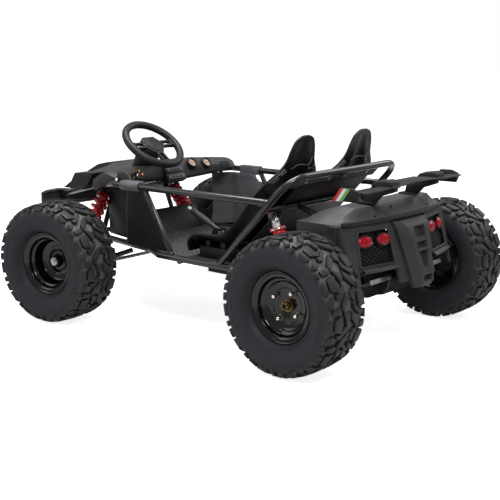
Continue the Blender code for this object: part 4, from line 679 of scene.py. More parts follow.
def tube(bm, points, radius, sides=18, closed=False, mat=0):
    """A round bar along a path, carried without twist."""
    points = [Vector(p) for p in points]
    count = len(points)
    along = (points[1] - points[0]).normalized()
    up = along.orthogonal().normalized()
    rings = []
    for i, point in enumerate(points):
        before = points[i - 1] if i or closed else point
        after = points[(i + 1) % count] if i + 1 < count or closed else point
        new_along = (after - before).normalized()
        up = (along.rotation_difference(new_along) @ up).normalized()
        along = new_along
        across = along.cross(up)
        size = radius(i / max(1, count - 1)) if callable(radius) else radius
        rings.append([bm.verts.new(point + (up * c + across * s) * size) for c, s in turns(sides)])
    bridge(bm, rings, closed_path=closed, caps=not closed, mat=mat)


def aim(origin, direction):
    """The matrix that carries a Y axis to this direction at this place."""
    turn = Vector(direction).normalized().to_track_quat("Y", "Z")
    return Matrix.Translation(origin) @ turn.to_matrix().to_4x4()


def lathe(bm, profile, place=None, steps=32, closed=False, mat=0):
    """Turns (y, radius) points about the Y axis of a place."""
    place = place or Matrix()
    rings = []
    for c, s in turns(steps):
        rings.append([bm.verts.new(place @ Vector((r * c, y, r * s))) for y, r in profile])
    size = len(profile)
    for i in range(steps):
        near, far = rings[i], rings[(i + 1) % steps]
        for j in range(size if closed else size - 1):
            k = (j + 1) % size
            if profile[j][1] > 0 or profile[k][1] > 0:
                bm.faces.new((near[j], near[k], far[k], far[j])).material_index = mat
    bmesh.ops.remove_doubles(bm, verts=[v for ring in rings for v in ring], dist=TINY)


def as_plan(u, v, w):
    """Places an outline that is drawn from above, with its depth upward."""
    return Vector((u, v, w))


def as_side(u, v, w):
    """Places an outline that is drawn from the side, with its depth across the kart."""
    return Vector((u, w, v))


def sideways(side, near, far):
    """The lower and higher y between two distances out to one side."""
    return sorted((side * near, side * far))


def prism(bm, outline, to_point, low, high, mat=0):
    """A closed prism whose outline points are placed by to_point(u, v, depth)."""
    near = [bm.verts.new(to_point(u, v, low)) for u, v in outline]
    far = [bm.verts.new(to_point(u, v, high)) for u, v in outline]
    bridge(bm, [near, far], caps=True, mat=mat)


def block(bm, low, high, place=None, mat=0):
    place = place or Matrix()
    outline = [(low[0], low[1]), (high[0], low[1]), (high[0], high[1]), (low[0], high[1])]
    prism(bm, outline, lambda u, v, w: place @ Vector((u, v, w)), low[2], high[2], mat)


def sheet_of(bm, rows, mat=0, missing=None):
    """A grid of faces through rows of points, with some left out."""
    grid = [[bm.verts.new(point) for point in row] for row in rows]
    for i in range(len(rows) - 1):
        for j in range(len(rows[0]) - 1):
            if not (missing and missing(i, j)):
                quad = (grid[i][j], grid[i][j + 1], grid[i + 1][j + 1], grid[i + 1][j])
                bm.faces.new(quad).material_index = mat
    loose = [v for v in bm.verts if not v.link_faces]
    bmesh.ops.delete(bm, geom=loose, context="VERTS")


def blended(table, at):
    """The straight-line value of a table of (place, value) rows at a place."""
    for (a0, v0), (a1, v1) in zip(table, table[1:]):
        if at <= a1:
            return v0 + (v1 - v0) * max(0.0, (at - a0) / (a1 - a0))
    return table[-1][1]


# Wheels
def wheel_place(end, side):
    """The place of a wheel whose own Y axis points out from the kart."""
    joint = JOINTS["wheel_%s_%s_spin" % (end, "left" if side > 0 else "right")]
    out = Vector(joint["axis"]) * side
    return Matrix.Translation(joint["pos_m"]) @ Matrix.Rotation(math.atan2(-out.x, out.y), 4, "Z")


def tread_curve():
    """The carcass outline from its crown to its bead, evenly stepped by length."""
    points = curve_through([(y, r, 0.0) for y, r in TYRE_PROFILE], 5)
    lengths = [0.0]
    for a, b in zip(points, points[1:]):
        lengths.append(lengths[-1] + (b - a).length)
    return points, lengths


def on_carcass(points, lengths, reach, lift):
    """The (y, radius) point at this length from the crown, lifted off the rubber."""
    for i in range(len(points) - 1):
        if lengths[i + 1] >= reach:
            break
    share = (reach - lengths[i]) / (lengths[i + 1] - lengths[i])
    base = points[i].lerp(points[i + 1], max(0.0, share))
    along = (points[i + 1] - points[i]).normalized()
    return base.x - along.y * lift, base.y + along.x * lift


def add_lug(bm, ribs, side, phase, curve):
    """A tapered block of rubber across the tread, one rib of four corners after another."""
    points, lengths = curve
    pitch = 2 * math.pi / LUG_UNITS
    depth = sizes().lug_depth
    rings = []
    last = len(ribs) - 1
    for index, (reach_share, start, end) in enumerate(ribs):
        reach = reach_share * GIRTH
        fade = 1.0 - 0.62 * max(0.0, (reach_share - 0.66) / 0.20)
        shift = 0.0010 * ((index == 0) - (index == last))
        low = on_carcass(points, lengths, reach, -LUG_SINK)
        high = on_carcass(points, lengths, reach + shift, depth * fade)
        inset = min(LUG_INSET, 0.2 * (end - start))
        corners = []
        for (y, r), turn in ((low, start), (high, start + inset), (high, end - inset), (low, end)):
            r = min(r, TYRE_RADIUS)
            angle = (turn + phase) * pitch
            corners.append(bm.verts.new((r * math.cos(angle), side * y, r * math.sin(angle))))
        rings.append(corners)
    bridge(bm, rings, caps=True, mat=1)


def tyre_mesh():
    bm = bmesh.new()
    curve = tread_curve()
    half = [(p.x, p.y) for p in curve[0]] + list(BEAD)
    profile = [(-y, r) for y, r in reversed(half[1:])] + half
    lathe(bm, profile, steps=TYRE_STEPS, closed=True)
    for side, phase in ((1, 0.0), (-1, 0.5)):
        for unit in range(LUG_UNITS):
            for ribs in LUG_SHARES:
                add_lug(bm, ribs, side, unit + phase, curve)
    for side in (1, -1):
        for radius, out in WALL_RINGS:
            ring = [(radius * c, side * out, radius * s) for c, s in turns(TYRE_STEPS)]
            tube(bm, ring, WALL_RING_WIRE, sides=6, closed=True)
    return bm


def make_tyres():
    for end in ("front", "rear"):
        for label, side in SIDES:
            name = "%s_%s" % (end, label)
            piece(
                "tyre_" + name + "_rubber",
                tyre_mesh(),
                [rubber(), lug_rubber()],
                "wheel_" + name,
                ["tyre_" + name],
                bevel=0.0006,
                place=wheel_place(end, side),
            )


def rim_profile(disc):
    """The barrel from the disc's face over both flanges to the disc's back."""
    front = [
        (disc, 0.050),
        (disc + 0.0025, 0.0525),
        (disc + 0.0030, 0.0640),
        (disc + 0.0060, 0.0700),
        (disc + 0.0110, 0.0735),
        (max(disc + 0.012, 0.030), 0.0745),
        (0.0345, 0.0762),
        (0.0370, 0.0815),
        (0.0400, 0.0838),
        (0.0500, 0.0862),
        (0.0530, 0.0900),
        (0.0545, 0.0965),
        (0.0575, 0.0990),
        (0.0592, 0.1015),
        (0.0585, 0.1040),
        (0.0555, 0.1050),
        (0.0525, 0.1035),
        (0.0515, 0.0905),
        (0.0340, 0.0905),
        (0.0260, 0.0790),
    ]
    back = [(-y, r) for y, r in reversed(front[5:])]
    return front + back + [(disc - DISC_THICKNESS, 0.0745)]


def make_front_rims():
    for label, side in SIDES:
        body = "wheel_front_" + label
        place = wheel_place("front", side)
        bm = bmesh.new()
        cap = FRONT_DISC + 0.028
        hub = [
            (cap, 0.0),
            (cap, HUB_RADIUS - 0.003),
            (cap - 0.003, HUB_RADIUS),
            (FRONT_DISC + 0.004, HUB_RADIUS + 0.001),
            (FRONT_DISC + 0.003, 0.0300),
            (FRONT_DISC + 0.0045, 0.0315),
            (FRONT_DISC + 0.0045, 0.0340),
            (FRONT_DISC, 0.0355),
        ]
        back = [(FRONT_DISC - DISC_THICKNESS, HUB_RADIUS), (FRONT_DISC - 0.034, HUB_RADIUS)]
        back += [(FRONT_DISC - 0.034, 0.0104), (0.0135, 0.0104), (0.0135, 0.0)]
        lathe(bm, hub + rim_profile(FRONT_DISC) + back, steps=RIM_STEPS)
        name = "rim_front_%s_gloss" % label
        piece(name, bm, rim_gloss(), body, ["rim_front_" + label], bevel=0.0006, place=place)
        bm = bmesh.new()
        lathe(bm, [(cap + y, r) for y, r in CAP_PROFILE], steps=32)
        piece("hub_cap_front_" + label, bm, zinc(), body, bevel=0.0003, place=place)


def make_rear_rims():
    for label, side in SIDES:
        body = "wheel_rear_" + label
        place = wheel_place("rear", side)
        bm = bmesh.new()
        hole = SHAFT_RADIUS + 0.0006
        profile = [(REAR_DISC, hole)] + rim_profile(REAR_DISC) + [(REAR_DISC - DISC_THICKNESS, hole)]
        lathe(bm, profile, steps=RIM_STEPS, closed=True)
        name = "rim_rear_%s_gloss" % label
        piece(name, bm, rim_gloss(), body, ["rim_rear_" + label], bevel=0.0006, place=place)
        make_wheel_nuts(label, body, place)
        make_half_shaft(label, body, place)
        make_castle_nut(label, body, place)


def make_wheel_nuts(label, body, place):
    nuts = bmesh.new()
    end = NUT_LENGTH
    dome = [(0.001, NUT_RADIUS), (end - 0.005, NUT_RADIUS), (end - 0.0018, NUT_RADIUS * 0.82)]
    dome += [(end, NUT_RADIUS * 0.45), (end, 0.0)]
    for i in range(4):
        turn = NUT_TURN + i * math.pi / 2
        middle = Vector((NUT_CIRCLE * math.cos(turn), REAR_DISC, NUT_CIRCLE * math.sin(turn)))
        spot = Matrix.Translation(middle)
        lathe(nuts, dome, spot, 24)
        lathe(nuts, SEAT_RING_PROFILE, spot, 24, mat=1)
    piece("wheel_nuts_" + label, nuts, [chrome(), brass()], body, place=place)


def make_half_shaft(label, body, place):
    flange = REAR_DISC - DISC_THICKNESS - 0.0003
    end = REAR_DISC + 0.0105
    profile = [(SHAFT_INNER, 0.0), (SHAFT_INNER, SHAFT_RADIUS), (flange - 0.006, SHAFT_RADIUS)]
    profile += [(flange - 0.006, SHAFT_FLANGE), (flange, SHAFT_FLANGE), (flange, SHAFT_RADIUS)]
    profile += [(REAR_DISC + 0.009, SHAFT_RADIUS - 0.002), (end, 0.0085), (end, 0.0)]
    bm = bmesh.new()
    lathe(bm, profile, steps=48)
    name = "half_shaft_%s_steel" % label
    node = "half_shaft_" + label
    piece(name, bm, black_metal(), body, [node], bevel=0.0005, place=place)


def make_castle_nut(label, body, place):
    bm = bmesh.new()
    corners = [(CASTLE_RADIUS * c, CASTLE_RADIUS * s) for c, s in turns(6)]
    prism(bm, corners, lambda u, v, w: Vector((u, REAR_DISC + w, v)), 0.0005, 0.0095)
    low, high = ((x, REAR_DISC + y, z) for x, y, z in CASTLE_TOOTH)
    for i in range(6):
        block(bm, low, high, Matrix.Rotation(i * math.pi / 3, 4, "Y"))
    lathe(bm, [(REAR_DISC + y, r) for y, r in CASTLE_WASHER], steps=32)
    piece("castle_nut_" + label, bm, brass(), body, bevel=0.0004, place=place)


# Frame
def hoop_leg(z, side):
    share = (z - LOWER_Z) / (HOOP_Z - LOWER_Z)
    x = REAR_X + HOOP_FOOT_AHEAD + (HOOP_TOP_AHEAD - HOOP_FOOT_AHEAD) * share
    return Vector((x, side * HALF_WIDTH, z))


def lower_rail(side):
    return [
        Vector((REAR_X + 0.285, side * HALF_WIDTH, LOWER_Z)),
        Vector((FRONT_X - 0.335, side * HALF_WIDTH, LOWER_Z)),
        Vector((FRONT_X - 0.245, side * 0.250, LOWER_Z)),
        Vector((FRONT_X + 0.205, side * 0.165, LOWER_Z)),
    ]


def rail_half(x):
    return blended([(p.x, p.y) for p in lower_rail(1)], x)


def upper_rail(side):
    return [
        hoop_leg(UPPER_Z, side),
        Vector((FRONT_X - 0.125, side * HALF_WIDTH, UPPER_Z)),
        Vector((TOWER_X, side * 0.215, UPPER_Z - 0.085 / 3)),
        Vector((FRONT_X + 0.2865, side * 0.190, UPPER_Z - 0.085)),
    ]


def weld_bead(bm, point, direction, radius):
    """The raised bead round the end of a tube that meets another."""
    lathe(bm, [(-0.002, radius * 0.9), (0.001, radius + 0.0022), (0.004, radius)], aim(point, direction), 16)


def make_frame():
    make_floor_frame()
    make_hoop_sheet()
    make_roll_frame()
    for name in ("tail_frame", "rear_arm", "arm_front_left", "arm_front_right"):
        dress(name, tube_coat())
    for name in ("knuckle_left", "knuckle_right", "rack_housing", "pedals"):
        dress(name, black_metal(), 0.0012)
    dress("drive_unit", black_metal(), 0.002)
    dress("track_rod", zinc(), 0.0005)
    dress("battery_box", moulded_dark(), 0.004)
    dress("bulkhead", moulded_dark(), 0.001)


def make_floor_frame():
    """The bottom rails with their pillars, cross tubes and front damper tower."""
    bm = bmesh.new()
    for _, side in SIDES:
        tube(bm, rounded(lower_rail(side), 0.03), TUBE)
        foot = Vector((pillar_x(LOWER_Z), side * HALF_WIDTH, LOWER_Z))
        top = Vector((pillar_x(UPPER_Z), side * HALF_WIDTH, UPPER_Z))
        top = foot.lerp(top, 1 - TUBE * 0.95 / (UPPER_Z - LOWER_Z))
        tube(bm, [foot, top], BRACE)
        weld_bead(bm, foot.lerp(top, 0.052), top - foot, BRACE)
    for x in CROSS_TUBES:
        half = rail_half(x)
        tube(bm, [(x, half, CROSS_Z), (x, -half, CROSS_Z)], BRACE)
    foot = rail_half(TOWER_X)
    half_tower = [(TOWER_X, foot, LOWER_Z), (TOWER_X, TOWER_BAR_HALF, TOWER_BAR_Z)]
    tower = half_tower + [(x, -y, z) for x, y, z in reversed(half_tower)]
    tube(bm, rounded(tower, 0.03), BRACE)
    for _, side in SIDES:
        for way in (1, -1):
            x = TOWER_X + way * PLATE_GAP
            ys = sideways(side, 0.112, 0.176)
            block(bm, (x - PLATE / 2, ys[0], TOWER_PLATE[0]), (x + PLATE / 2, ys[1], TOWER_PLATE[1]))
        ys = sideways(side, 0.111, 0.138)
        half = PLATE_GAP + PLATE / 2
        block(bm, (TOWER_X - half, ys[0], TOWER_PLATE[0]), (TOWER_X + half, ys[1], TOWER_PLATE[1]))
    piece("floor_frame_tubes", bm, tube_coat(), replaces=["lower_frame"], bevel=0.0008)


def make_hoop_sheet():
    """The dark sheet under the hoop's top bar, with its row of bolts."""
    bm = bmesh.new()
    rows = []
    for z in HOOP_SHEET_LEVELS:
        x = hoop_leg(z, 1).x + 0.0165
        rows.append([Vector((x, y, z)) for y in HOOP_SHEET_SIDES])
    sheet_of(bm, rows)
    head = ((-0.002, 0.0), (-0.002, 0.0042), (0.0012, 0.0042), (0.0022, 0.0))
    for y in HOOP_BOLT_SIDES:
        at = hoop_leg(HOOP_BOLT_Z, 1) + Vector((0.0135, y - HALF_WIDTH, 0))
        lathe(bm, head, aim(at, (-0.72, 0, -0.69)), 12, mat=1)
    piece("hoop_sheet", bm, [moulded_dark(), zinc()], wall=0.003)


def make_roll_frame():
    """The hoop behind the seats, the side rails and the rear dampers' brace."""
    bm = bmesh.new()
    tops = [(REAR_X + HOOP_TOP_AHEAD, side * HALF_WIDTH, HOOP_Z) for side in (1, -1)]
    feet = [hoop_leg(LOWER_Z + TUBE * 0.9, side) for side in (1, -1)]
    tube(bm, rounded([feet[0], *tops, feet[1]], 0.075, 14), TUBE)
    for _, side in SIDES:
        tube(bm, rounded(upper_rail(side), 0.06), TUBE)
        start = hoop_leg(UPPER_Z, side)
        weld_bead(bm, start + Vector((TUBE * 1.15, 0, 0)), (1, 0, 0), TUBE)
    tube(bm, [hoop_leg(BRACE_Z, 1), hoop_leg(BRACE_Z, -1)], BRACE)
    x = REAR_X + REAR_DAMPER_TOP[0]
    outline = [(x - 0.026, BRACE_Z), (x - 0.014, 0.397), (x + 0.006, 0.395), (x + 0.013, 0.404)]
    outline += [(x + 0.013, BRACE_Z)]
    for _, side in SIDES:
        for way in (1, -1):
            y = side * REAR_DAMPER_SIDE + way * PLATE_GAP
            prism(bm, outline, as_side, y - PLATE / 2, y + PLATE / 2)
    piece("roll_frame_tubes", bm, tube_coat(), replaces=["upper_frame"], bevel=0.0008)


def make_motor_fins():
    """Cooling rings on the motor and a row of bolts on the gearbox cover."""
    bm = bmesh.new()
    x, z = REAR_X - 0.075, AXLE_Z + 0.022
    for i in range(9):
        y = -0.018 + i * 0.013
        ring = [(y, 0.0445), (y + 0.0005, 0.0478), (y + 0.0035, 0.0478), (y + 0.004, 0.0445)]
        lathe(bm, ring, Matrix.Translation((x, 0, z)), 40)
    for side in (1, -1):
        for c, s in turns(6):
            at = Vector((REAR_X + 0.046 * c, side * 0.055, AXLE_Z + 0.046 * s))
            lathe(bm, [(0.0, 0.005), (0.0035, 0.005), (0.0035, 0.0)], aim(at, (0, side, 0)), 6)
    piece("motor_fins", bm, black_metal())


# Suspension
EYE_PROFILE = ((0.009, 0.0), (0.009, 0.0115), (0.0075, 0.0125))
EYE_BOLT_PROFILE = ((0.0165, 0.0), (0.0165, 0.0062), (0.0150, 0.0078))
DAMPER_ROD = 0.0060
DAMPER_TUBE = 0.0145
COLLAR_RADIUS = 0.0256
LABEL_BANDS = ((0.0375, 3), (0.0415, 1), (0.0452, 3))
LABEL_WIDTH = 0.0034
COIL_STEPS = 20


def both_ends(profile):
    """A profile about its middle, from the half that is given."""
    return [(-y, r) for y, r in profile] + [(y, r) for y, r in reversed(profile)]


def damper(label, top, low, axis, rear):
    """The damper's body with its eyes, then the spring round it."""
    top, low = Vector(top), Vector(low)
    length = (low - top).length
    place = aim(top, low - top)
    bm = bmesh.new()
    for point in (top, low):
        lathe(bm, both_ends(EYE_PROFILE), aim(point, axis), 24, mat=1)
        lathe(bm, both_ends(EYE_BOLT_PROFILE), aim(point, axis), 12, mat=2)
    head, foot = (0.040, 0.024) if rear else (0.013, 0.013)
    body = [
        (0.008, 0.0),
        (0.008, 0.0095),
        (0.012, 0.0118),
        (head - 0.002, 0.0122),
        (head, 0.0240),
        (head + 0.0015, COLLAR_RADIUS),
        (head + 0.0045, COLLAR_RADIUS),
        (head + 0.0050, 0.0150),
        (length * 0.62, DAMPER_TUBE),
        (length * 0.62, DAMPER_ROD),
        (length - foot - 0.0050, DAMPER_ROD),
        (length - foot - 0.0045, COLLAR_RADIUS),
        (length - foot - 0.0015, COLLAR_RADIUS),
        (length - foot, 0.0150),
        (length - 0.010, 0.0095),
        (length - 0.008, 0.0),
    ]
    lathe(bm, body, place, 32)
    if rear:
        lathe(bm, [(0.010, 0.0), (0.010, 0.0122), (0.024, 0.0126), (0.024, 0.0)], place, 32, mat=1)
        for start, mat in LABEL_BANDS:
            end = start + LABEL_WIDTH
            band = [(start, 0.0250), (start, 0.0262), (end, 0.0262), (end, 0.0250)]
            lathe(bm, band, place, 40, closed=True, mat=mat)
        mats = [body_white(), chrome(), brass(), label_red()]
    else:
        mats = [red_coat(), black_metal(), zinc(), label_red()]
    piece("damper_" + label, bm, mats, replaces=["shock_" + label], bevel=0.0005)
    wire = sizes().spring_wire
    start = head + (0.0095 if rear else 0.0050) + wire
    end = length - foot - 0.0050 - wire
    coil(label, place, start, end, 0.0210 if rear else 0.0228, wire if rear else wire * 1.2)


def coil(label, place, start, end, radius, wire):
    bm = bmesh.new()
    coils = sizes().spring_coils
    path = []
    total = coils * COIL_STEPS
    for i in range(total + 1):
        turn = 2 * math.pi * coils * i / total
        level = start + (end - start) * i / total
        path.append(place @ Vector((radius * math.cos(turn), level, radius * math.sin(turn))))
    tube(bm, path, wire, sides=10)
    piece("coil_" + label, bm, red_coat(), replaces=["spring_" + label])


def make_suspension():
    for label, side in SIDES:
        top, low = ((TOWER_X, side * y, z) for y, z in (FRONT_DAMPER_TOP, FRONT_DAMPER_LOW))
        damper("front_" + label, top, low, (1, 0, 0), False)
        ends = (REAR_DAMPER_TOP, REAR_DAMPER_LOW)
        top, low = ((REAR_X + ahead, side * REAR_DAMPER_SIDE, z) for ahead, z in ends)
        damper("rear_" + label, top, low, (0, 1, 0), True)


# Seats
def seat_grid():
    """Rows of points of a seat's face about its own middle line, from the front lip to the head."""
    shares = curve_through([(a, h, w, 0) for a, h, w, _ in SEAT_SHARES], 4)
    lifts = curve_through([(lift, 0, 0) for _, _, _, lift in SEAT_SHARES], 4)
    across = curve_through([(a, r, 0) for a, r in SEAT_ACROSS_SHARES], 5)
    span = SEAT_FRONT_X - SEAT_TOP_X
    spine = [Vector((SEAT_TOP_X + s[0] * span, 0, FLOOR_TOP + s[1] * SEAT_RISE)) for s in shares]
    rows = []
    for i, share in enumerate(shares):
        along = spine[min(i + 1, len(spine) - 1)] - spine[max(i - 1, 0)]
        up = Vector((along.z, 0, -along.x)).normalized()
        back = max(0.0, min(1.0, (share.y - 0.30) / 0.15)) * max(0.0, min(1.0, (0.97 - share.y) / 0.1))
        row = []
        for at in across:
            ridge = math.exp(-(((abs(at.x) - 0.46) / 0.07) ** 2))
            hollow = math.exp(-((at.x / 0.30) ** 4))
            shape = back * (0.0040 * ridge - 0.0055 * hollow)
            point = spine[i] + up * (at.y * lifts[i].x * SEAT_BOLSTER - shape)
            point.y = at.x * share[2] * SEAT_HALF
            row.append(point)
        rows.append(row)
    return rows


def make_seats():
    rows = seat_grid()
    steps = 4
    middle = len(rows[0]) // 2

    def behind(level, across, proud):
        """A point just behind the shell at this level and share across it."""
        i, j = round(level * steps), middle + round(across * middle)
        out = (rows[i + 1][j] - rows[i][j]).cross(rows[i][j + 1] - rows[i][j]).normalized()
        return rows[i][j] + (out if out.x < 0 else -out) * (SEAT_WALL + proud)

    for label, side in SIDES:
        offset = Vector((0, side * SEAT_SIDE, 0))
        bm = bmesh.new()
        sheet_of(bm, [[p + offset for p in row] for row in rows])
        name = "seat_" + label
        shell = name + "_shell"
        piece(shell, bm, seat_black(), "chassis", [name], wall=SEAT_WALL, bevel=0.0016)
        trim = bmesh.new()
        for way in (1, -1):
            for slot in SEAT_SLOTS:
                marks = [behind(level, way * across, -0.003) + offset for level, across in slot]
                tube(trim, curve_through(marks, 4), 0.0030, sides=8)
        marks = [behind(level, across, -0.003) + offset for level, across in SEAT_CLIP]
        tube(trim, curve_through(marks, 4), 0.0024, sides=8)
        for level, across in SEAT_BOLTS:
            spot = aim(behind(level, across, -0.002) + offset, (-1, 0, 0))
            lathe(trim, [(-0.003, 0.0), (-0.003, 0.0036), (0.001, 0.0036), (0.002, 0.0)], spot, 12, mat=1)
        piece(name + "_slots", trim, [panel_grey(), zinc()])
        feet = bmesh.new()
        for share in SEAT_FEET:
            x = SEAT_TOP_X + share * (SEAT_FRONT_X - SEAT_TOP_X)
            for way in (1, -1):
                y = side * SEAT_SIDE + way * SEAT_FOOT_SIDE
                block(feet, (x - 0.010, y - 0.012, ON_FLOOR), (x + 0.010, y + 0.012, FLOOR_TOP + 0.056))
        low, high = side * SEAT_SIDE - SEAT_BASE_HALF, side * SEAT_SIDE + SEAT_BASE_HALF
        block(feet, (SEAT_BASE[0], low, ON_FLOOR), (SEAT_BASE[1], high, FLOOR_TOP + 0.038))
        piece(name + "_feet", feet, black_metal(), bevel=0.001)


# Cockpit
TOE_X = 0.3545
FLOOR_STATIONS = (0.0945, 0.1995, TOE_X, 0.3845)
TREAD_LEAF = (
    (-0.0085, 0),
    (-0.004, -0.0024),
    (0.004, -0.0024),
    (0.0085, 0),
    (0.004, 0.0024),
    (-0.004, 0.0024),
)
TREAD_PITCH = 0.021
TREAD_ROW = 0.0125
RING_RADIUS = 0.1025


def make_floor():
    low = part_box("floor_pan")[0]
    bm = bmesh.new()
    stations = [low[0], *FLOOR_STATIONS]
    outline = [(x, rail_half(x) - 0.0118) for x in stations]
    outline += [(x, -y) for x, y in reversed(outline)]
    prism(bm, outline, as_plan, low[2], FLOOR_TOP - 0.0002)
    rows = []
    for ahead, up in ((-0.004, -0.004), (0.006, 0.006), (0.045, 0.080), (0.052, 0.084), (0.056, 0.080)):
        rows.append([Vector((TOE_X + ahead, y, FLOOR_TOP + up)) for y in (-0.185, -0.1, 0.0, 0.1, 0.185)])
    sheet_of(bm, rows, mat=1)
    mats = [floor_mat(), moulded_dark()]
    piece("floor_sheet", bm, mats, replaces=["floor_pan"], bevel=0.001)
    bm = bmesh.new()
    x = low[0] + 0.02
    row = 0
    while x < FRONT_X - 0.068:
        half = rail_half(x) - 0.024
        count = int(2 * half / TREAD_PITCH)
        for i in range(count + 1):
            y = -half + (i + 0.5 * (row % 2)) * TREAD_PITCH
            if y > half:
                continue
            turn = Matrix.Rotation(math.radians(90 if (i + row) % 2 else 0), 4, "Z")
            spot = Matrix.Translation((x, y, FLOOR_TOP - 0.0003)) @ turn
            ring = [bm.verts.new(spot @ Vector((u, v, 0))) for u, v in TREAD_LEAF]
            top = [bm.verts.new(spot @ Vector((u * 0.8, v * 0.6, 0.0016))) for u, v in TREAD_LEAF]
            bridge(bm, [ring, top], caps=True)
        x += TREAD_ROW
        row += 1
    piece("floor_tread", bm, floor_mat())


def wheel_matrix():
    """The steering wheel's own place: Z points at the driver and X away from the nose."""
    up = WHEEL_UP
    across = Vector((0, 1, 0))
    ahead = across.cross(up).normalized()
    turn = Matrix((ahead, across, up)).transposed().to_4x4()
    return Matrix.Translation(WHEEL_CENTRE) @ turn


def make_steering():
    place = wheel_matrix()
    bm = bmesh.new()
    ring = [(RING_RADIUS * c, RING_RADIUS * s, 0) for c, s in turns(80)]
    tube(bm, ring, 0.0130, sides=20, closed=True)
    for turn in (180.0, 90.0, -90.0):
        spin = Matrix.Rotation(math.radians(turn), 4, "Z")
        for way in (1, -1):
            block(bm, (0.026, way * 0.0105 - 0.004, -0.010), (0.098, way * 0.0105 + 0.004, 0.002), spin)
        block(bm, (0.024, -0.013, -0.013), (0.046, 0.013, 0.001), spin)
        block(bm, (0.080, -0.014, -0.012), (0.097, 0.014, 0.004), spin)
    pad = [(0.036, -0.026), (0.036, 0.026), (0.010, 0.042), (-0.018, 0.038), (-0.044, 0.016)]
    pad += [(-0.044, -0.016), (-0.018, -0.038), (0.010, -0.042)]
    prism(bm, pad, as_plan, -0.022, 0.002)
    smaller = [(u * 0.78, v * 0.78) for u, v in pad]
    prism(bm, smaller, as_plan, 0.001, 0.0045)
    upward = aim((0, 0, 0), (0, 0, 1))
    lathe(bm, [(-0.190, 0.0), (-0.190, 0.009), (-0.020, 0.009), (-0.018, 0.0)], upward, 24)
    lathe(bm, [(-0.020, 0.0), (-0.019, 0.024), (-0.006, 0.030), (-0.006, 0.0)], upward, 32)
    made = ["steering_wheel"]
    piece("steering_wheel_rim", bm, moulded_dark(), "steering", replaces=made, bevel=0.0016, place=place)
    bm = bmesh.new()
    for way in (1, -1):
        for u in (0.062, 0.072):
            block(bm, (-0.0140, way * u - 0.0035, 0.0015), (-0.0070, way * u + 0.0035, 0.0040))
    piece("steering_buttons", bm, moulded_grey(), "steering", bevel=0.0008, place=place)
    bm = bmesh.new()
    housing = [
        (0.0335, 0.0100),
        (0.034, 0.0340),
        (0.040, 0.038),
        (0.075, 0.036),
        (0.110, 0.030),
        (0.152, 0.024),
        (0.152, 0.011),
        (0.266, 0.011),
        (0.266, 0.0),
    ]
    lathe(bm, housing, aim(WHEEL_CENTRE, -WHEEL_UP), 40)
    piece("column_housing", bm, moulded_dark(), replaces=["steering_column"], bevel=0.001)


def make_handbrake():
    bm = bmesh.new()
    x = REAR_X + 0.640
    pivot = Vector((x, 0, FLOOR_TOP + 0.030))
    tip = pivot + Vector((0.150, 0, 0.067))
    path = [pivot.lerp(tip, s) for s in (0.0, 0.2, 0.42, 0.45, 0.7, 0.93, 0.97)]
    radii = (0.0075, 0.0075, 0.0085, 0.0118, 0.0112, 0.0115, 0.0090)
    tube(bm, path, lambda s: radii[round(s * (len(radii) - 1))], sides=20)
    for i in range(9):
        ring = pivot.lerp(tip, 0.50 + i * 0.045)
        lathe(bm, [(-0.0018, 0.0112), (0.0, 0.0126), (0.0018, 0.0112)], aim(ring, tip - pivot), 20)
    button = [(-0.004, 0.0), (-0.004, 0.0066), (0.012, 0.0066), (0.014, 0.005), (0.014, 0.0)]
    lathe(bm, button, aim(tip, tip - pivot), 20, mat=1)
    ear = FLOOR_TOP + 0.045
    outline = [(x - 0.015, ON_FLOOR), (x + 0.046, ON_FLOOR), (x + 0.030, ear), (x - 0.010, ear)]
    for y in (-0.0130, 0.0095):
        prism(bm, outline, as_side, y, y + 0.0035, mat=2)
    bolt = [(-0.016, 0.0), (-0.016, 0.006), (0.016, 0.006), (0.016, 0.0)]
    lathe(bm, bolt, aim(pivot, (0, 1, 0)), 12, mat=3)
    mats = [grip_grey(), body_white(), black_metal(), zinc()]
    piece("handbrake_lever", bm, mats, replaces=["handbrake"], bevel=0.0005)


DASH_REAR = FRONT_X - 0.190
DASH_HALF = 0.272
DASH_TOPS = ((-DASH_HALF, 0.496), (-0.240, 0.505), (-0.163, 0.512), (0.0, 0.522))
DASH_TOPS += tuple((-y, z) for y, z in reversed(DASH_TOPS[:-1]))
PLUGS = (
    (0.236, 0.492, 0.5, 0),
    (0.250, 0.480, -0.3, 1),
    (0.243, 0.470, 0.1, 2),
    (0.228, 0.480, -0.5, 0),
    (0.258, 0.492, 0.2, 2),
)
PLUG_PROFILE = ((-0.03, 0.0), (-0.03, 0.0062), (0.012, 0.0062), (0.014, 0.0045), (0.020, 0.0045))
PLUG_PROFILE += ((0.020, 0.0),)
PLUG_WIRE = ((0, 0.018, 0), (0.004, 0.026, -0.004), (0.012, 0.022, -0.014), (0.014, 0.004, -0.022))


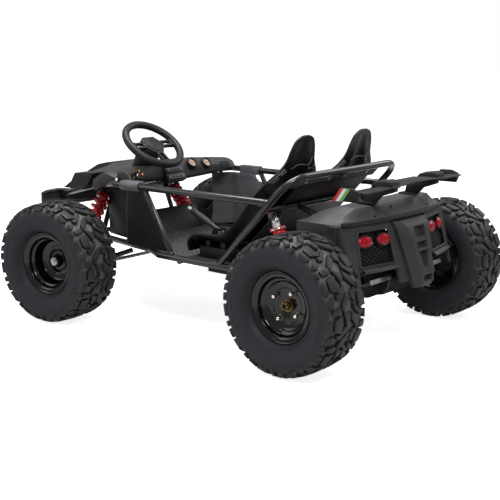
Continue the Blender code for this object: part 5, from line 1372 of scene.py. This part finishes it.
def make_dash():
    bm = bmesh.new()
    rings = []
    sections = curve_through([(y, top, 0) for y, top in DASH_TOPS], 4)
    for section in sections:
        y, top = section.x, section.y
        low = 0.450 + 0.010 * abs(y) / DASH_HALF
        rear = DASH_REAR + 0.010 * (abs(y) / DASH_HALF) ** 2
        outline = (
            (0.012, low),
            (0.0, low + 0.012),
            (0.006, top - 0.022),
            (0.018, top - 0.006),
            (0.032, top),
            (0.070, top - 0.002),
            (0.070, low + 0.010),
            (0.058, low),
        )
        rings.append([bm.verts.new((rear + ahead, y, z)) for ahead, z in outline])
    bridge(bm, rings, caps=True)
    raised = [(-0.232, 0.480), (-0.212, 0.498), (-0.168, 0.500), (-0.158, 0.490), (-0.020, 0.497)]
    raised += [(-0.010, 0.470), (-0.200, 0.463)]
    prism(bm, raised, lambda u, v, w: Vector((DASH_REAR + 0.006 + w, u, v)), -0.005, 0.010)
    for y in (0.070, 0.245):
        knob = [(0.0, 0.0), (0.0, 0.0065), (0.003, 0.0055), (0.0032, 0.0)]
        lathe(bm, knob, aim((DASH_REAR + 0.003, y, 0.478), (-1, 0, 0)), 16)
    piece("dash_panel", bm, moulded_black(), replaces=["dash"], bevel=0.0015)
    bm = bmesh.new()
    for y, z in ((-0.020, 0.502), (-0.096, 0.496)):
        spot = aim((DASH_REAR + 0.009, y, z), (-0.78, 0.0, 0.62))
        bezel = [(-0.012, 0.0), (-0.012, 0.0215), (0.010, 0.0215), (0.013, 0.0200), (0.013, 0.0172)]
        bezel += [(0.008, 0.0160), (0.008, 0.0)]
        lathe(bm, bezel, spot, 40)
        lathe(bm, [(0.0084, 0.0), (0.0084, 0.0158), (0.0078, 0.0160)], spot, 40, mat=1)
        for i in range(11):
            turn = Matrix.Rotation(math.radians(-135 + 27 * i), 4, "Y")
            block(bm, (-0.0004, 0.0085, 0.0118), (0.0004, 0.0090, 0.0148), spot @ turn, mat=2)
        needle = spot @ Matrix.Rotation(0.7, 4, "Y")
        block(bm, (-0.0005, 0.0090, -0.003), (0.0005, 0.0096, 0.0120), needle, mat=3)
        lathe(bm, [(0.0086, 0.0026), (0.0102, 0.0022), (0.0104, 0.0)], spot, 16)
    piece("gauges", bm, [moulded_dark(), dial_tan(), moulded_dark(), label_red()], bevel=0.0003)
    bm = bmesh.new()
    place = aim((DASH_REAR - 0.003, 0.078, 0.476), (-0.90, 0, 0.44))
    block(bm, (-0.045, -0.016, -0.027), (0.045, 0.006, 0.027), place)
    for z in (-0.013, 0.013):
        block(bm, (-0.040, 0.004, z - 0.0075), (0.040, 0.0115, z + 0.0075), place, mat=1)
        for x in (-0.018, 0.0, 0.018):
            block(bm, (x - 0.0045, 0.0105, z - 0.0035), (x + 0.0045, 0.0130, z + 0.0035), place)
    piece("switch_block", bm, [moulded_dark(), moulded_grey()], bevel=0.0010)
    bm = bmesh.new()
    for y, z, turn, mat in PLUGS:
        spot = aim((DASH_REAR + 0.012, y, z), (-0.7, turn, 0.6))
        lathe(bm, PLUG_PROFILE, spot, 16, mat=mat)
        loop = [spot @ Vector(point) for point in PLUG_WIRE]
        tube(bm, curve_through(loop, 5), 0.0020, sides=8, mat=3)
    piece("wire_plugs", bm, [copper(), zinc(), brass(), black_metal()], bevel=0.0004)


# Nose and side panels
HOOD_SHARES = (
    (0.00, 0.10, 0.336, 0.586, 1.00),
    (0.16, 0.15, 0.236, 0.593, 1.02),
    (0.29, 0.20, 0.457, 0.707, 1.02),
    (0.50, 0.20, 0.479, 0.657, 0.86),
    (0.65, 0.22, 0.55, 0.729, 0.82),
    (0.83, 0.37, 0.586, 0.764, 0.78),
    (1.00, 0.657, 0.836, 0.979, 0.71),
)
HOOD_ACROSS = ((-1.0, 1.0), (-0.90, 0.72), (-0.74, 0.45), (-0.40, 0.10), (-0.34, 0.0), (0.0, -0.04))
HOOD_ACROSS += tuple((-a, b) for a, b in reversed(HOOD_ACROSS[:-1]))
HOOD_TOP = 0.522
HOOD_FALL = 0.140
HOOD_REAR = FRONT_X - 0.105
HOOD_LENGTH = 0.332
HOOD_HALF = 0.275
RIDGE_HALF = 0.075
POD_OUTLINE = ((0.030, 0.044), (0.130, 0.050), (0.152, 0.082), (0.195, 0.108), (0.085, 0.108), (0.055, 0.080))
RIDGE_OUTLINE = ((0.110, 0.045), (0.160, 0.030), (0.215, 0.042), (0.275, 0.072), (0.250, 0.092))
RIDGE_OUTLINE += ((0.110, 0.085),)
BUMPER_Z = 0.385
BUMPER_HALF = 0.300
BUMPER_TALL = 0.070


def make_nose():
    stations = curve_through([(a, m, e, lip) for a, m, e, lip, _ in HOOD_SHARES], 3)
    widths = curve_through([(w, 0, 0) for *_, w in HOOD_SHARES], 3)
    rows = []
    for station, width in zip(stations, widths):
        ahead, middle, edge, lip = station
        x = HOOD_REAR + ahead * HOOD_LENGTH
        half = HOOD_HALF * width.x
        row = [Vector((x, -half - 0.001, HOOD_TOP - lip * HOOD_FALL))]
        row.append(Vector((x, -half, HOOD_TOP - (edge + 0.02) * HOOD_FALL)))
        for across, blend in HOOD_ACROSS[1:-1]:
            fall = middle + (edge - middle) * blend
            row.append(Vector((x, across * half, HOOD_TOP - fall * HOOD_FALL)))
        row += [Vector((p.x, -p.y, p.z)) for p in reversed(row[:2])]
        rows.append(row)
    bm = bmesh.new()
    sheet_of(bm, rows)
    piece("nose_shell", bm, moulded_black(), replaces=["nose_cover"], wall=0.005, bevel=0.0015)
    bm = bmesh.new()
    for _, side in SIDES:
        ys = sideways(side, 0.190, 0.258)
        prism(bm, [(FRONT_X + a, HOOD_TOP - d) for a, d in POD_OUTLINE], as_side, ys[0], ys[1])
    prism(bm, [(FRONT_X + a, HOOD_TOP - d) for a, d in RIDGE_OUTLINE], as_side, -RIDGE_HALF, RIDGE_HALF)
    piece("nose_pods", bm, moulded_dark(), bevel=0.0015)
    bm = bmesh.new()
    rows = []
    front = FRONT_X + 0.302
    ledges = ((-1.0, 0.75, 0.0), (-0.9, 0.25, 0.0), (-0.70, 0.0, 0.0), (-0.35, 0.0, -1.0), (0.35, 0.0, -1.0))
    ledges += ((0.70, 0.0, 0.0), (0.9, 0.25, 0.0), (1.0, 0.75, 0.0))
    for up, inset in ((0.14, 0.014), (0.04, 0.0), (-0.40, 0.0), (-0.52, 0.014)):
        row = []
        for across, back, lift in ledges:
            z = BUMPER_Z + lift * 0.015 + up * BUMPER_TALL
            row.append(Vector((front - 0.006 - inset - back * 0.040, -across * BUMPER_HALF, z)))
        rows.append(row)
    sheet_of(bm, rows)
    piece("bumper_moulding", bm, moulded_black(), replaces=["front_bumper"], wall=0.010, bevel=0.002)


SLEEVE_STARTS = {1: 0.1917, -1: 0.1680}
SLEEVE_PROFILE = (
    (0.0, 0.0112),
    (0.0, 0.0160),
    (0.0015, 0.0170),
    (0.0845, 0.0170),
    (0.086, 0.0160),
    (0.086, 0.0112),
)
PANEL_HALF = 0.280
PANEL_TOP = 0.4463
PANEL_LOW = 0.2497
PANEL_STEPS = 10
FOOTWELL_LEVELS = {1: (0.425, 0.38, 0.31, 0.2505), -1: (0.305, 0.2505)}


def pillar_x(z):
    return FRONT_X - PILLAR_BACK + PILLAR_LEAN * (z - LOWER_Z) / (UPPER_Z - LOWER_Z)


def make_side_panels():
    for label, side in SIDES:
        rows = []
        for n in range(PANEL_STEPS + 1):
            z = PANEL_TOP - n * (PANEL_TOP - PANEL_LOW) / PANEL_STEPS
            bulge = 0.006 * math.sin(math.pi * n / PANEL_STEPS)
            points = [(pillar_x(z) + 0.014, PANEL_HALF, 0)]
            for behind, inward in ((0.456, 0.010), (0.374, 0.055), (0.262, 0.235)):
                points.append((FRONT_X - behind * PILLAR_BACK, PANEL_HALF * (1 - inward), 0))
            smooth = curve_through(points, 5)
            swell = [p.y + bulge * (i / len(smooth)) for i, p in enumerate(smooth)]
            rows.append([Vector((p.x, side * y, z)) for p, y in zip(smooth, swell)])
        bm = bmesh.new()
        sheet_of(bm, rows)
        # Painted light and shade: the right panel takes the lighter grey and the left the near-black, though
        # both are the same panel.
        mat = panel_grey() if side < 0 else moulded_dark()
        name = "side_panel_" + label
        piece(name + "_sheet", bm, mat, replaces=[name], wall=0.005, bevel=0.0014)
        bm = bmesh.new()
        start = SLEEVE_STARTS[side]
        lathe(bm, SLEEVE_PROFILE, aim((start, side * HALF_WIDTH, UPPER_Z), (1, 0, 0)), 32, closed=True)
        ys = sideways(side, 0.2775, 0.2875)
        block(bm, (start + 0.002, ys[0], UPPER_Z - 0.016), (start + 0.084, ys[1], UPPER_Z + 0.013))
        ys = sideways(side, 0.2775, 0.300)
        block(bm, (start + 0.002, ys[0], UPPER_Z + 0.0125), (start + 0.084, ys[1], UPPER_Z + 0.0165))
        piece("rail_sleeve_" + label, bm, panel_grey(), bevel=0.0012)
        bm = bmesh.new()
        rows = []
        near, far = rail_half(HOOD_REAR) - 0.014, rail_half(TOWER_X) - 0.020
        for z in FOOTWELL_LEVELS[side]:
            row = [(HOOD_REAR, side * near, z), (FRONT_X - 0.020, side * (near + far) / 2, z)]
            row.append((TOWER_X - 0.020, side * far, z - 0.10 * max(0.0, z - 0.38)))
            rows.append([Vector(point) for point in row])
        sheet_of(bm, rows)
        piece("footwell_side_" + label, bm, moulded_dark(), wall=0.004, bevel=0.001)


# Tail
def fascia_x(y, z):
    return REAR_X - FASCIA_BACK + FASCIA_BOW * (y / DECK_HALF) ** 2 + FASCIA_LEAN * (z - FASCIA_MIDDLE)


DECK_CROWN = ((0.00, 0.05), (0.12, 0.45), (0.50, 1.00), (0.80, 0.95), (1.00, 0.00))
DECK_SKIRT = ((0.00, 0.40), (0.12, 0.52), (0.50, 0.70), (0.80, 1.05), (0.905, 1.15), (0.915, 0.12))
DECK_SKIRT += ((1.00, 0.12),)
DECK_SKIRT_DROP = 0.070


def deck_point(along, y, drop=0.0):
    x = DECK_FRONT_X + (fascia_x(y, FASCIA_TOP) - DECK_FRONT_X) * along
    fall = max(0.0, (abs(y) - DECK_RIDGE_SIDE) / (DECK_HALF - DECK_RIDGE_SIDE))
    z = DECK_EDGE_Z + DECK_RISE * blended(DECK_CROWN, along) * (1 - fall)
    if abs(y) < DECK_PLATEAU and 0.1 < along < 0.97:
        z += 0.004
    return Vector((x, y, z - drop))


def make_deck():
    rows = []
    alongs = (0.0, 0.03, 0.07, 0.12, 0.18, 0.26, 0.36, 0.5, 0.6, 0.7, 0.8, 0.86)
    alongs += (0.905, 0.915, 0.965, 0.975, 1.0)
    half_ys = (0.289, 0.286, 0.270, 0.250, 0.225, 0.205, 0.18, 0.155, 0.131, 0.1245, 0.09, 0.05)
    ys = [-y for y in half_ys] + [0.0] + list(reversed(half_ys))
    for along in alongs:
        row = [deck_point(along, y) for y in ys]
        low = deck_point(along, ys[0], blended(DECK_SKIRT, along) * DECK_SKIRT_DROP)
        middle = low.lerp(row[0], 0.5) + Vector((0, -0.0015, 0))
        flip = [Vector((p.x, -p.y, p.z)) for p in (middle, low)]
        rows.append([low, middle] + row + flip)
    bm = bmesh.new()
    sheet_of(bm, rows)
    bm.faces.ensure_lookup_table()
    columns = len(rows[0]) - 1
    # Painted light: the top takes the lighter copy of the plastic, while the two outer columns each side (the
    # skirt) and the front band keep the plain tail plastic.
    for face in bm.faces:
        i, j = divmod(face.index, columns)
        if min(j, columns - 1 - j) < 2 or 0.03 <= alongs[i] < 0.12:
            face.material_index = 1
    mats = [deck_painted_light(), moulded_black()]
    piece("deck_shell", bm, mats, replaces=["rear_deck"], wall=0.005, bevel=0.0010, sharp=16)
    bm = bmesh.new()
    lip = []
    for share in range(-20, 21):
        y = share / 20 * (DECK_HALF - 0.004)
        lip.append(Vector((fascia_x(y, FASCIA_TOP) - 0.0015, y, DECK_EDGE_Z + 0.0035)))
    tube(bm, lip, 0.0065, sides=12)
    for _, side in SIDES:
        for along, y in ((0.93, 0.262), (0.93, 0.150), (0.86, 0.060), (0.08, 0.230)):
            at = deck_point(along, side * y) + Vector((0, 0, 0.002))
            lathe(bm, [(0.0, 0.0055), (0.0025, 0.0050), (0.0035, 0.0)], aim(at, (0, 0, 1)), 16)
    piece("deck_edge", bm, moulded_dark(), bevel=0.0005)


def make_fascia():
    heights = (0.4135, 0.4035, 0.395, 0.380, 0.362, 0.344, 0.326, 0.306, 0.287, 0.276)
    heights += (0.262, 0.248, 0.236, 0.228)
    rows = []
    for z in heights:
        share = (FASCIA_TOP - z) / (FASCIA_TOP - FASCIA_LOW)
        outer = 0.2834 - 0.016 * share
        window = 0.234 + 0.022 * share
        inner = 0.108 - 0.006 * share
        corner = [(outer + 0.0056, 0.040), (outer + 0.0056, 0.018), (outer + 0.0045, 0.008), (outer, 0.0015)]
        steps = [window + (inner - window) * k / 5 for k in range(6)]
        half = corner + [(y, 0.0) for y in [(outer + window) / 2] + steps + [0.075, 0.045]]
        row = [Vector((fascia_x(y, z) + 0.006 + back, -y, z)) for y, back in half]
        row.append(Vector((fascia_x(0, z) + 0.006, 0, z)))
        rows.append(row + [Vector((p.x, -p.y, p.z)) for p in reversed(row[:-1])])
    count = len(rows[0]) - 1

    def open_cell(i, j):
        inward = min(j, count - 1 - j)
        return 5 <= inward <= 9 and (2 <= i <= 7 or i >= 9)

    bm = bmesh.new()
    sheet_of(bm, rows, missing=open_cell)
    piece("fascia_shell", bm, moulded_black(), replaces=["rear_fascia"], wall=0.010, bevel=0.0025)
    bm = bmesh.new()
    for _, side in SIDES:
        path = []
        for y, z in ((0.2335, 0.3925), (0.110, 0.3925), (0.106, 0.2895), (0.2465, 0.2895)):
            path.append(Vector((fascia_x(y, z) + 0.003, side * y, z)))
        ring = path[2:] + path[:3]
        tube(bm, rounded(ring, 0.006), 0.0035, sides=8)
        rows = []
        for out, up in ((-0.002, 0.004), (-0.013, -0.003), (-0.010, -0.008), (0.004, -0.012)):
            ledge = [(fascia_x(y, 0.282) + out, side * y, 0.284 + up) for y in (0.246, 0.20, 0.15, 0.104)]
            rows.append([Vector(point) for point in ledge])
        sheet_of(bm, rows)
    piece("window_frames", bm, moulded_black(), wall=0.002, bevel=0.0004)
    make_spine()
    make_skid()


SPINE_HALF = ((0.207, 0.048), (0.226, 0.054), (0.300, 0.066), (0.396, 0.088), (0.4085, 0.094))
SPINE_OUT = ((0.207, -0.014), (0.226, -0.028), (0.388, -0.028), (0.4085, -0.010))
POCKET_HALF = ((0.207, 0.022), (0.243, 0.026), (0.262, 0.009), (0.314, 0.028), (0.388, 0.030))
POCKETS = ((0.388, 0.354), (0.342, 0.321), (0.314, 0.262), (0.243, 0.224))


def on_spine(u, v, w):
    return Vector((fascia_x(0, v) + w, u, v))


def make_spine():
    """The raised wedge down the middle, with its ladder windows, long V and bottom pocket."""
    levels = [0.4085, 0.396] + [z for pocket in POCKETS for z in pocket] + [0.207]
    rows = []
    for z in levels:
        half, out = blended(SPINE_HALF, z), blended(SPINE_OUT, z)
        pocket = blended(POCKET_HALF, z)
        shape = [(-half, 0.010), (-half, out * 0.2), (-half + 0.024, out), (-pocket, out)]
        shape += [(-u, w) for u, w in reversed(shape)]
        rows.append([on_spine(y, z, w) for y, w in shape])
    bm = bmesh.new()
    sheet_of(bm, rows, missing=lambda i, j: j == 3 and i in (2, 4, 6, 8))
    piece("spine_wedge", bm, moulded_black(), wall=0.003, bevel=0.0016)
    bm = bmesh.new()
    for top, low in POCKETS:
        rings = []
        for depth, shrink in ((0.0, 1.0), (0.014, 0.88)):
            ring = []
            for z, side in ((top, 0), (top, 1), (low, 1), (low, 0)):
                y = blended(POCKET_HALF, z) * shrink * (1 if side else -1)
                level = (top + low) / 2 + (z - (top + low) / 2) * shrink
                ring.append(bm.verts.new(on_spine(y, level, blended(SPINE_OUT, z) + depth)))
            rings.append(ring)
        bridge(bm, rings)
        bm.faces.new(rings[1])
    piece("spine_pockets", bm, moulded_black(), wall=0.002)


def make_skid():
    """The pale plates seen through the openings low in the tail."""
    bm = bmesh.new()
    for _, side in SIDES:
        ys = sideways(side, 0.095, 0.205)
        place = aim((REAR_X - 0.105, (ys[0] + ys[1]) / 2, 0.232), (-1, 0, 0.25))
        half = (ys[1] - ys[0]) / 2
        block(bm, (-half, -0.018, -0.002), (half, 0.018, 0.002), place)
        block(bm, (-half, 0.014, -0.002), (half, 0.018, 0.012), place)
    piece("skid_plates", bm, zinc(), bevel=0.0008)


def make_grilles():
    """Crossed bars in each window, with a near-black sheet behind them as painted shade of the tail's inside.
    """
    pitch = sizes().mesh_pitch
    y0, y1, z0, z1 = WINDOW[0] - 0.006, WINDOW[1] + 0.002, WINDOW[2] - 0.006, WINDOW[3] + 0.004
    for label, side in SIDES:
        bm = bmesh.new()
        for slope in (0.62, -0.62):
            reach = (y1 - y0) * abs(slope)
            start = z0 - (reach if slope > 0 else 0.0)
            end = z1 + (reach if slope < 0 else 0.0)
            z = start
            while z < end:
                path = []
                for step in range(25):
                    y = y0 + (y1 - y0) * step / 24
                    at = z + slope * (y - y0)
                    if z0 <= at <= z1:
                        path.append(Vector((fascia_x(y, at) + RECESS - 0.001, side * y, at)))
                if len(path) > 2:
                    tube(bm, path, 0.0013, sides=6)
                z += pitch
        # A near-black sheet behind the bars: painted shade of the tail's inside.
        rows = []
        for at in (z1, (z0 + z1) / 2, z0):
            ys = [y0 + (y1 - y0) * k / 4 for k in range(5)]
            rows.append([Vector((fascia_x(y, at) + RECESS + 0.004, side * y, at)) for y in ys])
        sheet_of(bm, rows, mat=1)
        mats = [moulded_dark(), finish("grille_painted_shade", (0.004, 0.004, 0.004), 0.8)]
        piece("mesh_" + label, bm, mats, replaces=["grille_" + label])


def make_lamps():
    for label, side in SIDES:
        bm = bmesh.new()
        for middle in LAMP_SIDES:
            y = side * middle
            centre = Vector((fascia_x(y, LAMP_Z) + 0.001, y, LAMP_Z))
            slope = 2 * FASCIA_BOW * y / DECK_HALF**2
            out = Vector((-1, slope, FASCIA_LEAN)).normalized()
            across = Vector((slope, 1, 0)).normalized()
            up = out.cross(across).normalized()
            up = up if up.z > 0 else -up
            rings = []
            for size, lift in LENS_RINGS:
                ring = oval(centre, across * LENS[0] * size, up * LENS[1] * size, 40)
                rings.append([bm.verts.new(point + out * lift) for point in ring])
            bridge(bm, rings, caps=True)
            ring = oval(centre, across * LENS_RIM[0], up * LENS_RIM[1], 48)
            tube(bm, [point + out * 0.0018 for point in ring], 0.0012, sides=8, closed=True, mat=1)
            back = []
            for lift, size in ((-0.011, 1.0), (-0.002, 1.04)):
                ring = oval(centre, across * LAMP_CUP[0] * size, up * LAMP_CUP[1] * size, 40)
                back.append([bm.verts.new(point + out * lift) for point in ring])
            bridge(bm, back, caps=True, mat=2)
        mats = [lamp_red(), finish("lamp_rim", (0.20, 0.006, 0.012), 0.15, shine=0.8), moulded_dark()]
        piece("lamps_" + label, bm, mats, replaces=["tail_lamps_" + label])


BLADE_SECTION = ((-1, 0.001), (-0.4, -0.004), (0.6, -0.005), (1, 0.0))
BLADE_SECTION += ((0.8, 0.004), (-0.5, 0.0055), (-1, 0.004))
STRIPE_WIDTH = 0.0115
STRIPE_CORNERS = ((-STRIPE_WIDTH, -0.0252), (0.0, -0.0252), (-0.0265, 0.0122), (-0.038, 0.0125))


def make_wing():
    bm = bmesh.new()
    stations = (
        (0.000, 0.000, 0.040, 0.0100),
        (0.060, 0.000, 0.040, 0.0100),
        (0.070, 0.000, 0.034, 0.0065),
        (0.145, 0.001, 0.034, 0.0050),
        (0.158, 0.002, 0.026, 0.0010),
        (0.230, 0.004, 0.024, -0.0010),
        (0.278, 0.006, 0.024, -0.0020),
    )
    rows = [(-y, x, c, z) for y, x, c, z in reversed(stations[1:])] + list(stations)
    rings = []
    for y, shift, half, rise in rows:
        x, z = WING_X + shift, WING_Z + rise
        rings.append([bm.verts.new((x + half * share, y, z + up)) for share, up in BLADE_SECTION])
    bridge(bm, rings, caps=True)
    for _, side in SIDES:
        fin = [(-0.036, 0.0), (-0.030, 0.021), (-0.010, 0.024), (0.030, 0.018), (0.042, 0.004)]
        ys = sideways(side, 0.108, 0.152)
        low = [bm.verts.new((WING_X + 0.008 + u, ys[0], WING_Z + 0.002 + v)) for u, v in fin]
        high = [bm.verts.new((WING_X + 0.008 + u, ys[1], WING_Z + 0.002 + v * 0.9)) for u, v in fin]
        bridge(bm, [low, high], caps=True)
        y = side * 0.119
        foot_x = REAR_X - 0.045
        foot_z = deck_point(0.7, y).z + 0.003
        strut = [
            (REAR_X - 0.034, foot_z - 0.002),
            (REAR_X - 0.040, foot_z + 0.026),
            (REAR_X - 0.100, WING_Z - 0.002),
            (REAR_X - 0.150, WING_Z + 0.002),
            (REAR_X - 0.148, WING_Z - 0.010),
            (REAR_X - 0.098, foot_z + 0.024),
            (REAR_X - 0.073, foot_z - 0.002),
        ]
        prism(bm, strut, as_side, y - 0.0085, y + 0.0085)
        block(bm, (foot_x - 0.030, y - 0.016, foot_z - 0.0015), (foot_x + 0.028, y + 0.016, foot_z + 0.005))
        plate = [
            (REAR_X - 0.0385, WING_Z - 0.026),
            (REAR_X - 0.124, WING_Z - 0.025),
            (REAR_X - 0.132, WING_Z - 0.004),
            (REAR_X - 0.128, WING_Z + 0.006),
            (REAR_X - 0.106, WING_Z + 0.014),
            (REAR_X - 0.066, WING_Z + 0.013),
        ]
        ys = sideways(side, 0.277, 0.288)
        prism(bm, plate, as_side, ys[0], ys[1])
    piece("wing_blade", bm, moulded_dark(), replaces=["rear_wing"], bevel=0.0015)
    if not looks().stripes:
        return
    bm = bmesh.new()
    for _, side in SIDES:
        ys = sideways(side, 0.2875, 0.2889)
        for i in range(3):
            start = REAR_X - 0.041 - i * STRIPE_WIDTH
            band = [(start + u, WING_Z + v) for u, v in STRIPE_CORNERS]
            prism(bm, band, as_side, ys[0], ys[1], mat=i)
    paints = (("red", (0.55, 0.03, 0.025)), ("white", (0.82, 0.82, 0.78)), ("green", (0.16, 0.42, 0.06)))
    piece("wing_stripes", bm, [stripe(name, colour) for name, colour in paints])


# Studio
CAMERA_PLACE = Vector((-2.2055, 2.566, 0.916))
CAMERA_AIM = Vector((0.619, -0.760, -0.197))
CAMERA_LENS = 71.34
CAMERA_SHIFT = (-0.0372, -0.0083)


def white_to_camera(tree, output, near, far):
    """Mixes two shaders so that the camera, mirrors and glass see the second."""
    path = tree.nodes.new("ShaderNodeLightPath")
    direct = tree.nodes.new("ShaderNodeMath")
    direct.operation = "MAXIMUM"
    tree.links.new(path.outputs["Is Camera Ray"], direct.inputs[0])
    tree.links.new(path.outputs["Is Transmission Ray"], direct.inputs[1])
    seen = tree.nodes.new("ShaderNodeMath")
    seen.operation = "MULTIPLY_ADD"
    seen.use_clamp = True
    seen.inputs[1].default_value = 0.18
    tree.links.new(path.outputs["Is Glossy Ray"], seen.inputs[0])
    tree.links.new(direct.outputs["Value"], seen.inputs[2])
    mix = tree.nodes.new("ShaderNodeMixShader")
    tree.links.new(seen.outputs["Value"], mix.inputs["Fac"])
    tree.links.new(near, mix.inputs[1])
    tree.links.new(far, mix.inputs[2])
    tree.links.new(mix.outputs["Shader"], output.inputs["Surface"])


def floor_paint():
    """A pale floor that the camera sees white beside the shadow, and that throws little light back up."""
    mat = bpy.data.materials.new("floor_paint")
    mat.use_nodes = True
    tree = mat.node_tree
    tree.nodes.remove(tree.nodes["Principled BSDF"])
    dim = add(tree, "ShaderNodeBsdfDiffuse")
    tint = ramp(tree, cloud(tree, 0.6), ((0.2, (0.42, 0.42, 0.42)), (0.8, (0.46, 0.46, 0.46))))
    tree.links.new(tint, dim.inputs["Color"])
    pale = add(tree, "ShaderNodeBsdfDiffuse", Color=(0.95, 0.95, 0.95, 1.0))
    glow = add(tree, "ShaderNodeEmission", Strength=0.84)
    both = tree.nodes.new("ShaderNodeAddShader")
    tree.links.new(pale.outputs["BSDF"], both.inputs[0])
    tree.links.new(glow.outputs["Emission"], both.inputs[1])
    white_to_camera(tree, tree.nodes["Material Output"], dim.outputs["BSDF"], both.outputs["Shader"])
    return mat


def make_stage():
    scene = bpy.context.scene
    scene.view_settings.view_transform = "Standard"
    world = bpy.data.worlds.new("studio")
    scene.world = world
    world.use_nodes = True
    tree = world.node_tree
    soft = tree.nodes["Background"]
    soft.inputs["Color"].default_value = (0.92, 0.94, 1.0, 1.0)
    soft.inputs["Strength"].default_value = 0.26
    white = tree.nodes.new("ShaderNodeBackground")
    white.inputs["Strength"].default_value = 1.0
    white.inputs["Color"].default_value = (1.0, 1.0, 1.0, 1.0)
    white_to_camera(tree, tree.nodes["World Output"], soft.outputs["Background"], white.outputs["Background"])
    bm = bmesh.new()
    bmesh.ops.create_circle(bm, cap_ends=True, radius=30.0, segments=64)
    mesh = bpy.data.meshes.new("studio_floor")
    bm.to_mesh(mesh)
    bm.free()
    floor = bpy.data.objects.new("studio_floor", mesh)
    scene.collection.objects.link(floor)
    floor.location.z = -0.0005
    mesh.materials.append(floor_paint())
    lamps = (
        ("key", (-2.4, 1.6, 3.0), 1.1, 62.0),
        ("fill", (2.6, 3.0, 2.4), 2.2, 26.0),
        ("back", (-1.2, -3.2, 2.8), 2.2, 40.0),
        ("top", (0.3, 0.2, 3.3), 2.0, 122.0),
    )
    for name, place, size, power in lamps:
        light = bpy.data.lights.new(name, "AREA")
        light.size = size
        light.energy = power
        lamp = bpy.data.objects.new(name, light)
        scene.collection.objects.link(lamp)
        lamp.location = place
        lamp.rotation_euler = (Vector((0, 0, 0.3)) - Vector(place)).to_track_quat("-Z", "Y").to_euler()
    data = bpy.data.cameras.new("camera")
    data.lens = CAMERA_LENS
    data.shift_x, data.shift_y = CAMERA_SHIFT
    data.clip_end = 100.0
    camera = bpy.data.objects.new("camera", data)
    scene.collection.objects.link(camera)
    camera.location = CAMERA_PLACE
    camera.rotation_euler = CAMERA_AIM.to_track_quat("-Z", "Y").to_euler()
    scene.camera = camera


class KART_OT_stage(bpy.types.Operator):
    """Makes the floor, lights and camera."""

    bl_idname = "kart.stage"
    bl_label = "Studio"

    def execute(self, context):
        make_stage()
        return {"FINISHED"}


class KART_OT_tyres(bpy.types.Operator):
    """Makes the four lugged tyres."""

    bl_idname = "kart.tyres"
    bl_label = "Tyres"

    def execute(self, context):
        make_tyres()
        return {"FINISHED"}


class KART_OT_rims(bpy.types.Operator):
    """Makes the rims with their hubs, nuts and half shafts."""

    bl_idname = "kart.rims"
    bl_label = "Rims"

    def execute(self, context):
        make_front_rims()
        make_rear_rims()
        return {"FINISHED"}


class KART_OT_frame(bpy.types.Operator):
    """Makes the tube frame and finishes the running gear."""

    bl_idname = "kart.frame"
    bl_label = "Frame"

    def execute(self, context):
        make_frame()
        make_motor_fins()
        return {"FINISHED"}


class KART_OT_suspension(bpy.types.Operator):
    """Makes the dampers and their coil springs."""

    bl_idname = "kart.suspension"
    bl_label = "Suspension"

    def execute(self, context):
        make_suspension()
        return {"FINISHED"}


class KART_OT_seats(bpy.types.Operator):
    """Makes the two bucket seats."""

    bl_idname = "kart.seats"
    bl_label = "Seats"

    def execute(self, context):
        make_seats()
        return {"FINISHED"}


class KART_OT_cockpit(bpy.types.Operator):
    """Makes the floor tread, steering, handbrake and dash."""

    bl_idname = "kart.cockpit"
    bl_label = "Cockpit"

    def execute(self, context):
        make_floor()
        make_steering()
        make_handbrake()
        make_dash()
        return {"FINISHED"}


class KART_OT_nose(bpy.types.Operator):
    """Makes the nose, bumper and side panels."""

    bl_idname = "kart.nose"
    bl_label = "Nose and side panels"

    def execute(self, context):
        make_nose()
        make_side_panels()
        return {"FINISHED"}


class KART_OT_tail(bpy.types.Operator):
    """Makes the deck, fascia, grilles, lamps and wing."""

    bl_idname = "kart.tail"
    bl_label = "Tail"

    def execute(self, context):
        make_deck()
        make_fascia()
        make_grilles()
        make_lamps()
        make_wing()
        return {"FINISHED"}


OPERATORS = (
    KART_OT_stage,
    KART_OT_tyres,
    KART_OT_rims,
    KART_OT_frame,
    KART_OT_suspension,
    KART_OT_seats,
    KART_OT_cockpit,
    KART_OT_nose,
    KART_OT_tail,
)


class KART_PT_panel(bpy.types.Panel):
    """Lists the kart's piece groups with their colours and sizes."""

    bl_label = "Off-road kart"
    bl_space_type = "VIEW_3D"
    bl_region_type = "UI"
    bl_category = "Kart"

    def draw(self, context):
        column = self.layout.column()
        for group in (context.scene.kart_looks, context.scene.kart_sizes):
            for name in group.bl_rna.properties.keys():
                if name not in ("rna_type", "name"):
                    column.prop(group, name)
        for operator in OPERATORS:
            column.operator(operator.bl_idname)


CLASSES = (KartLooks, KartSizes, *OPERATORS, KART_PT_panel)


def register():
    for cls in CLASSES:
        bpy.utils.register_class(cls)
    bpy.types.Scene.kart_looks = bpy.props.PointerProperty(type=KartLooks)
    bpy.types.Scene.kart_sizes = bpy.props.PointerProperty(type=KartSizes)


def unregister():
    del bpy.types.Scene.kart_sizes
    del bpy.types.Scene.kart_looks
    for cls in reversed(CLASSES):
        bpy.utils.unregister_class(cls)


def main():
    register()
    bpy.ops.kart.stage()
    bpy.ops.kart.tyres()
    bpy.ops.kart.rims()
    bpy.ops.kart.frame()
    bpy.ops.kart.suspension()
    bpy.ops.kart.seats()
    bpy.ops.kart.cockpit()
    bpy.ops.kart.nose()
    bpy.ops.kart.tail()


if __name__ == "__main__":
    main()
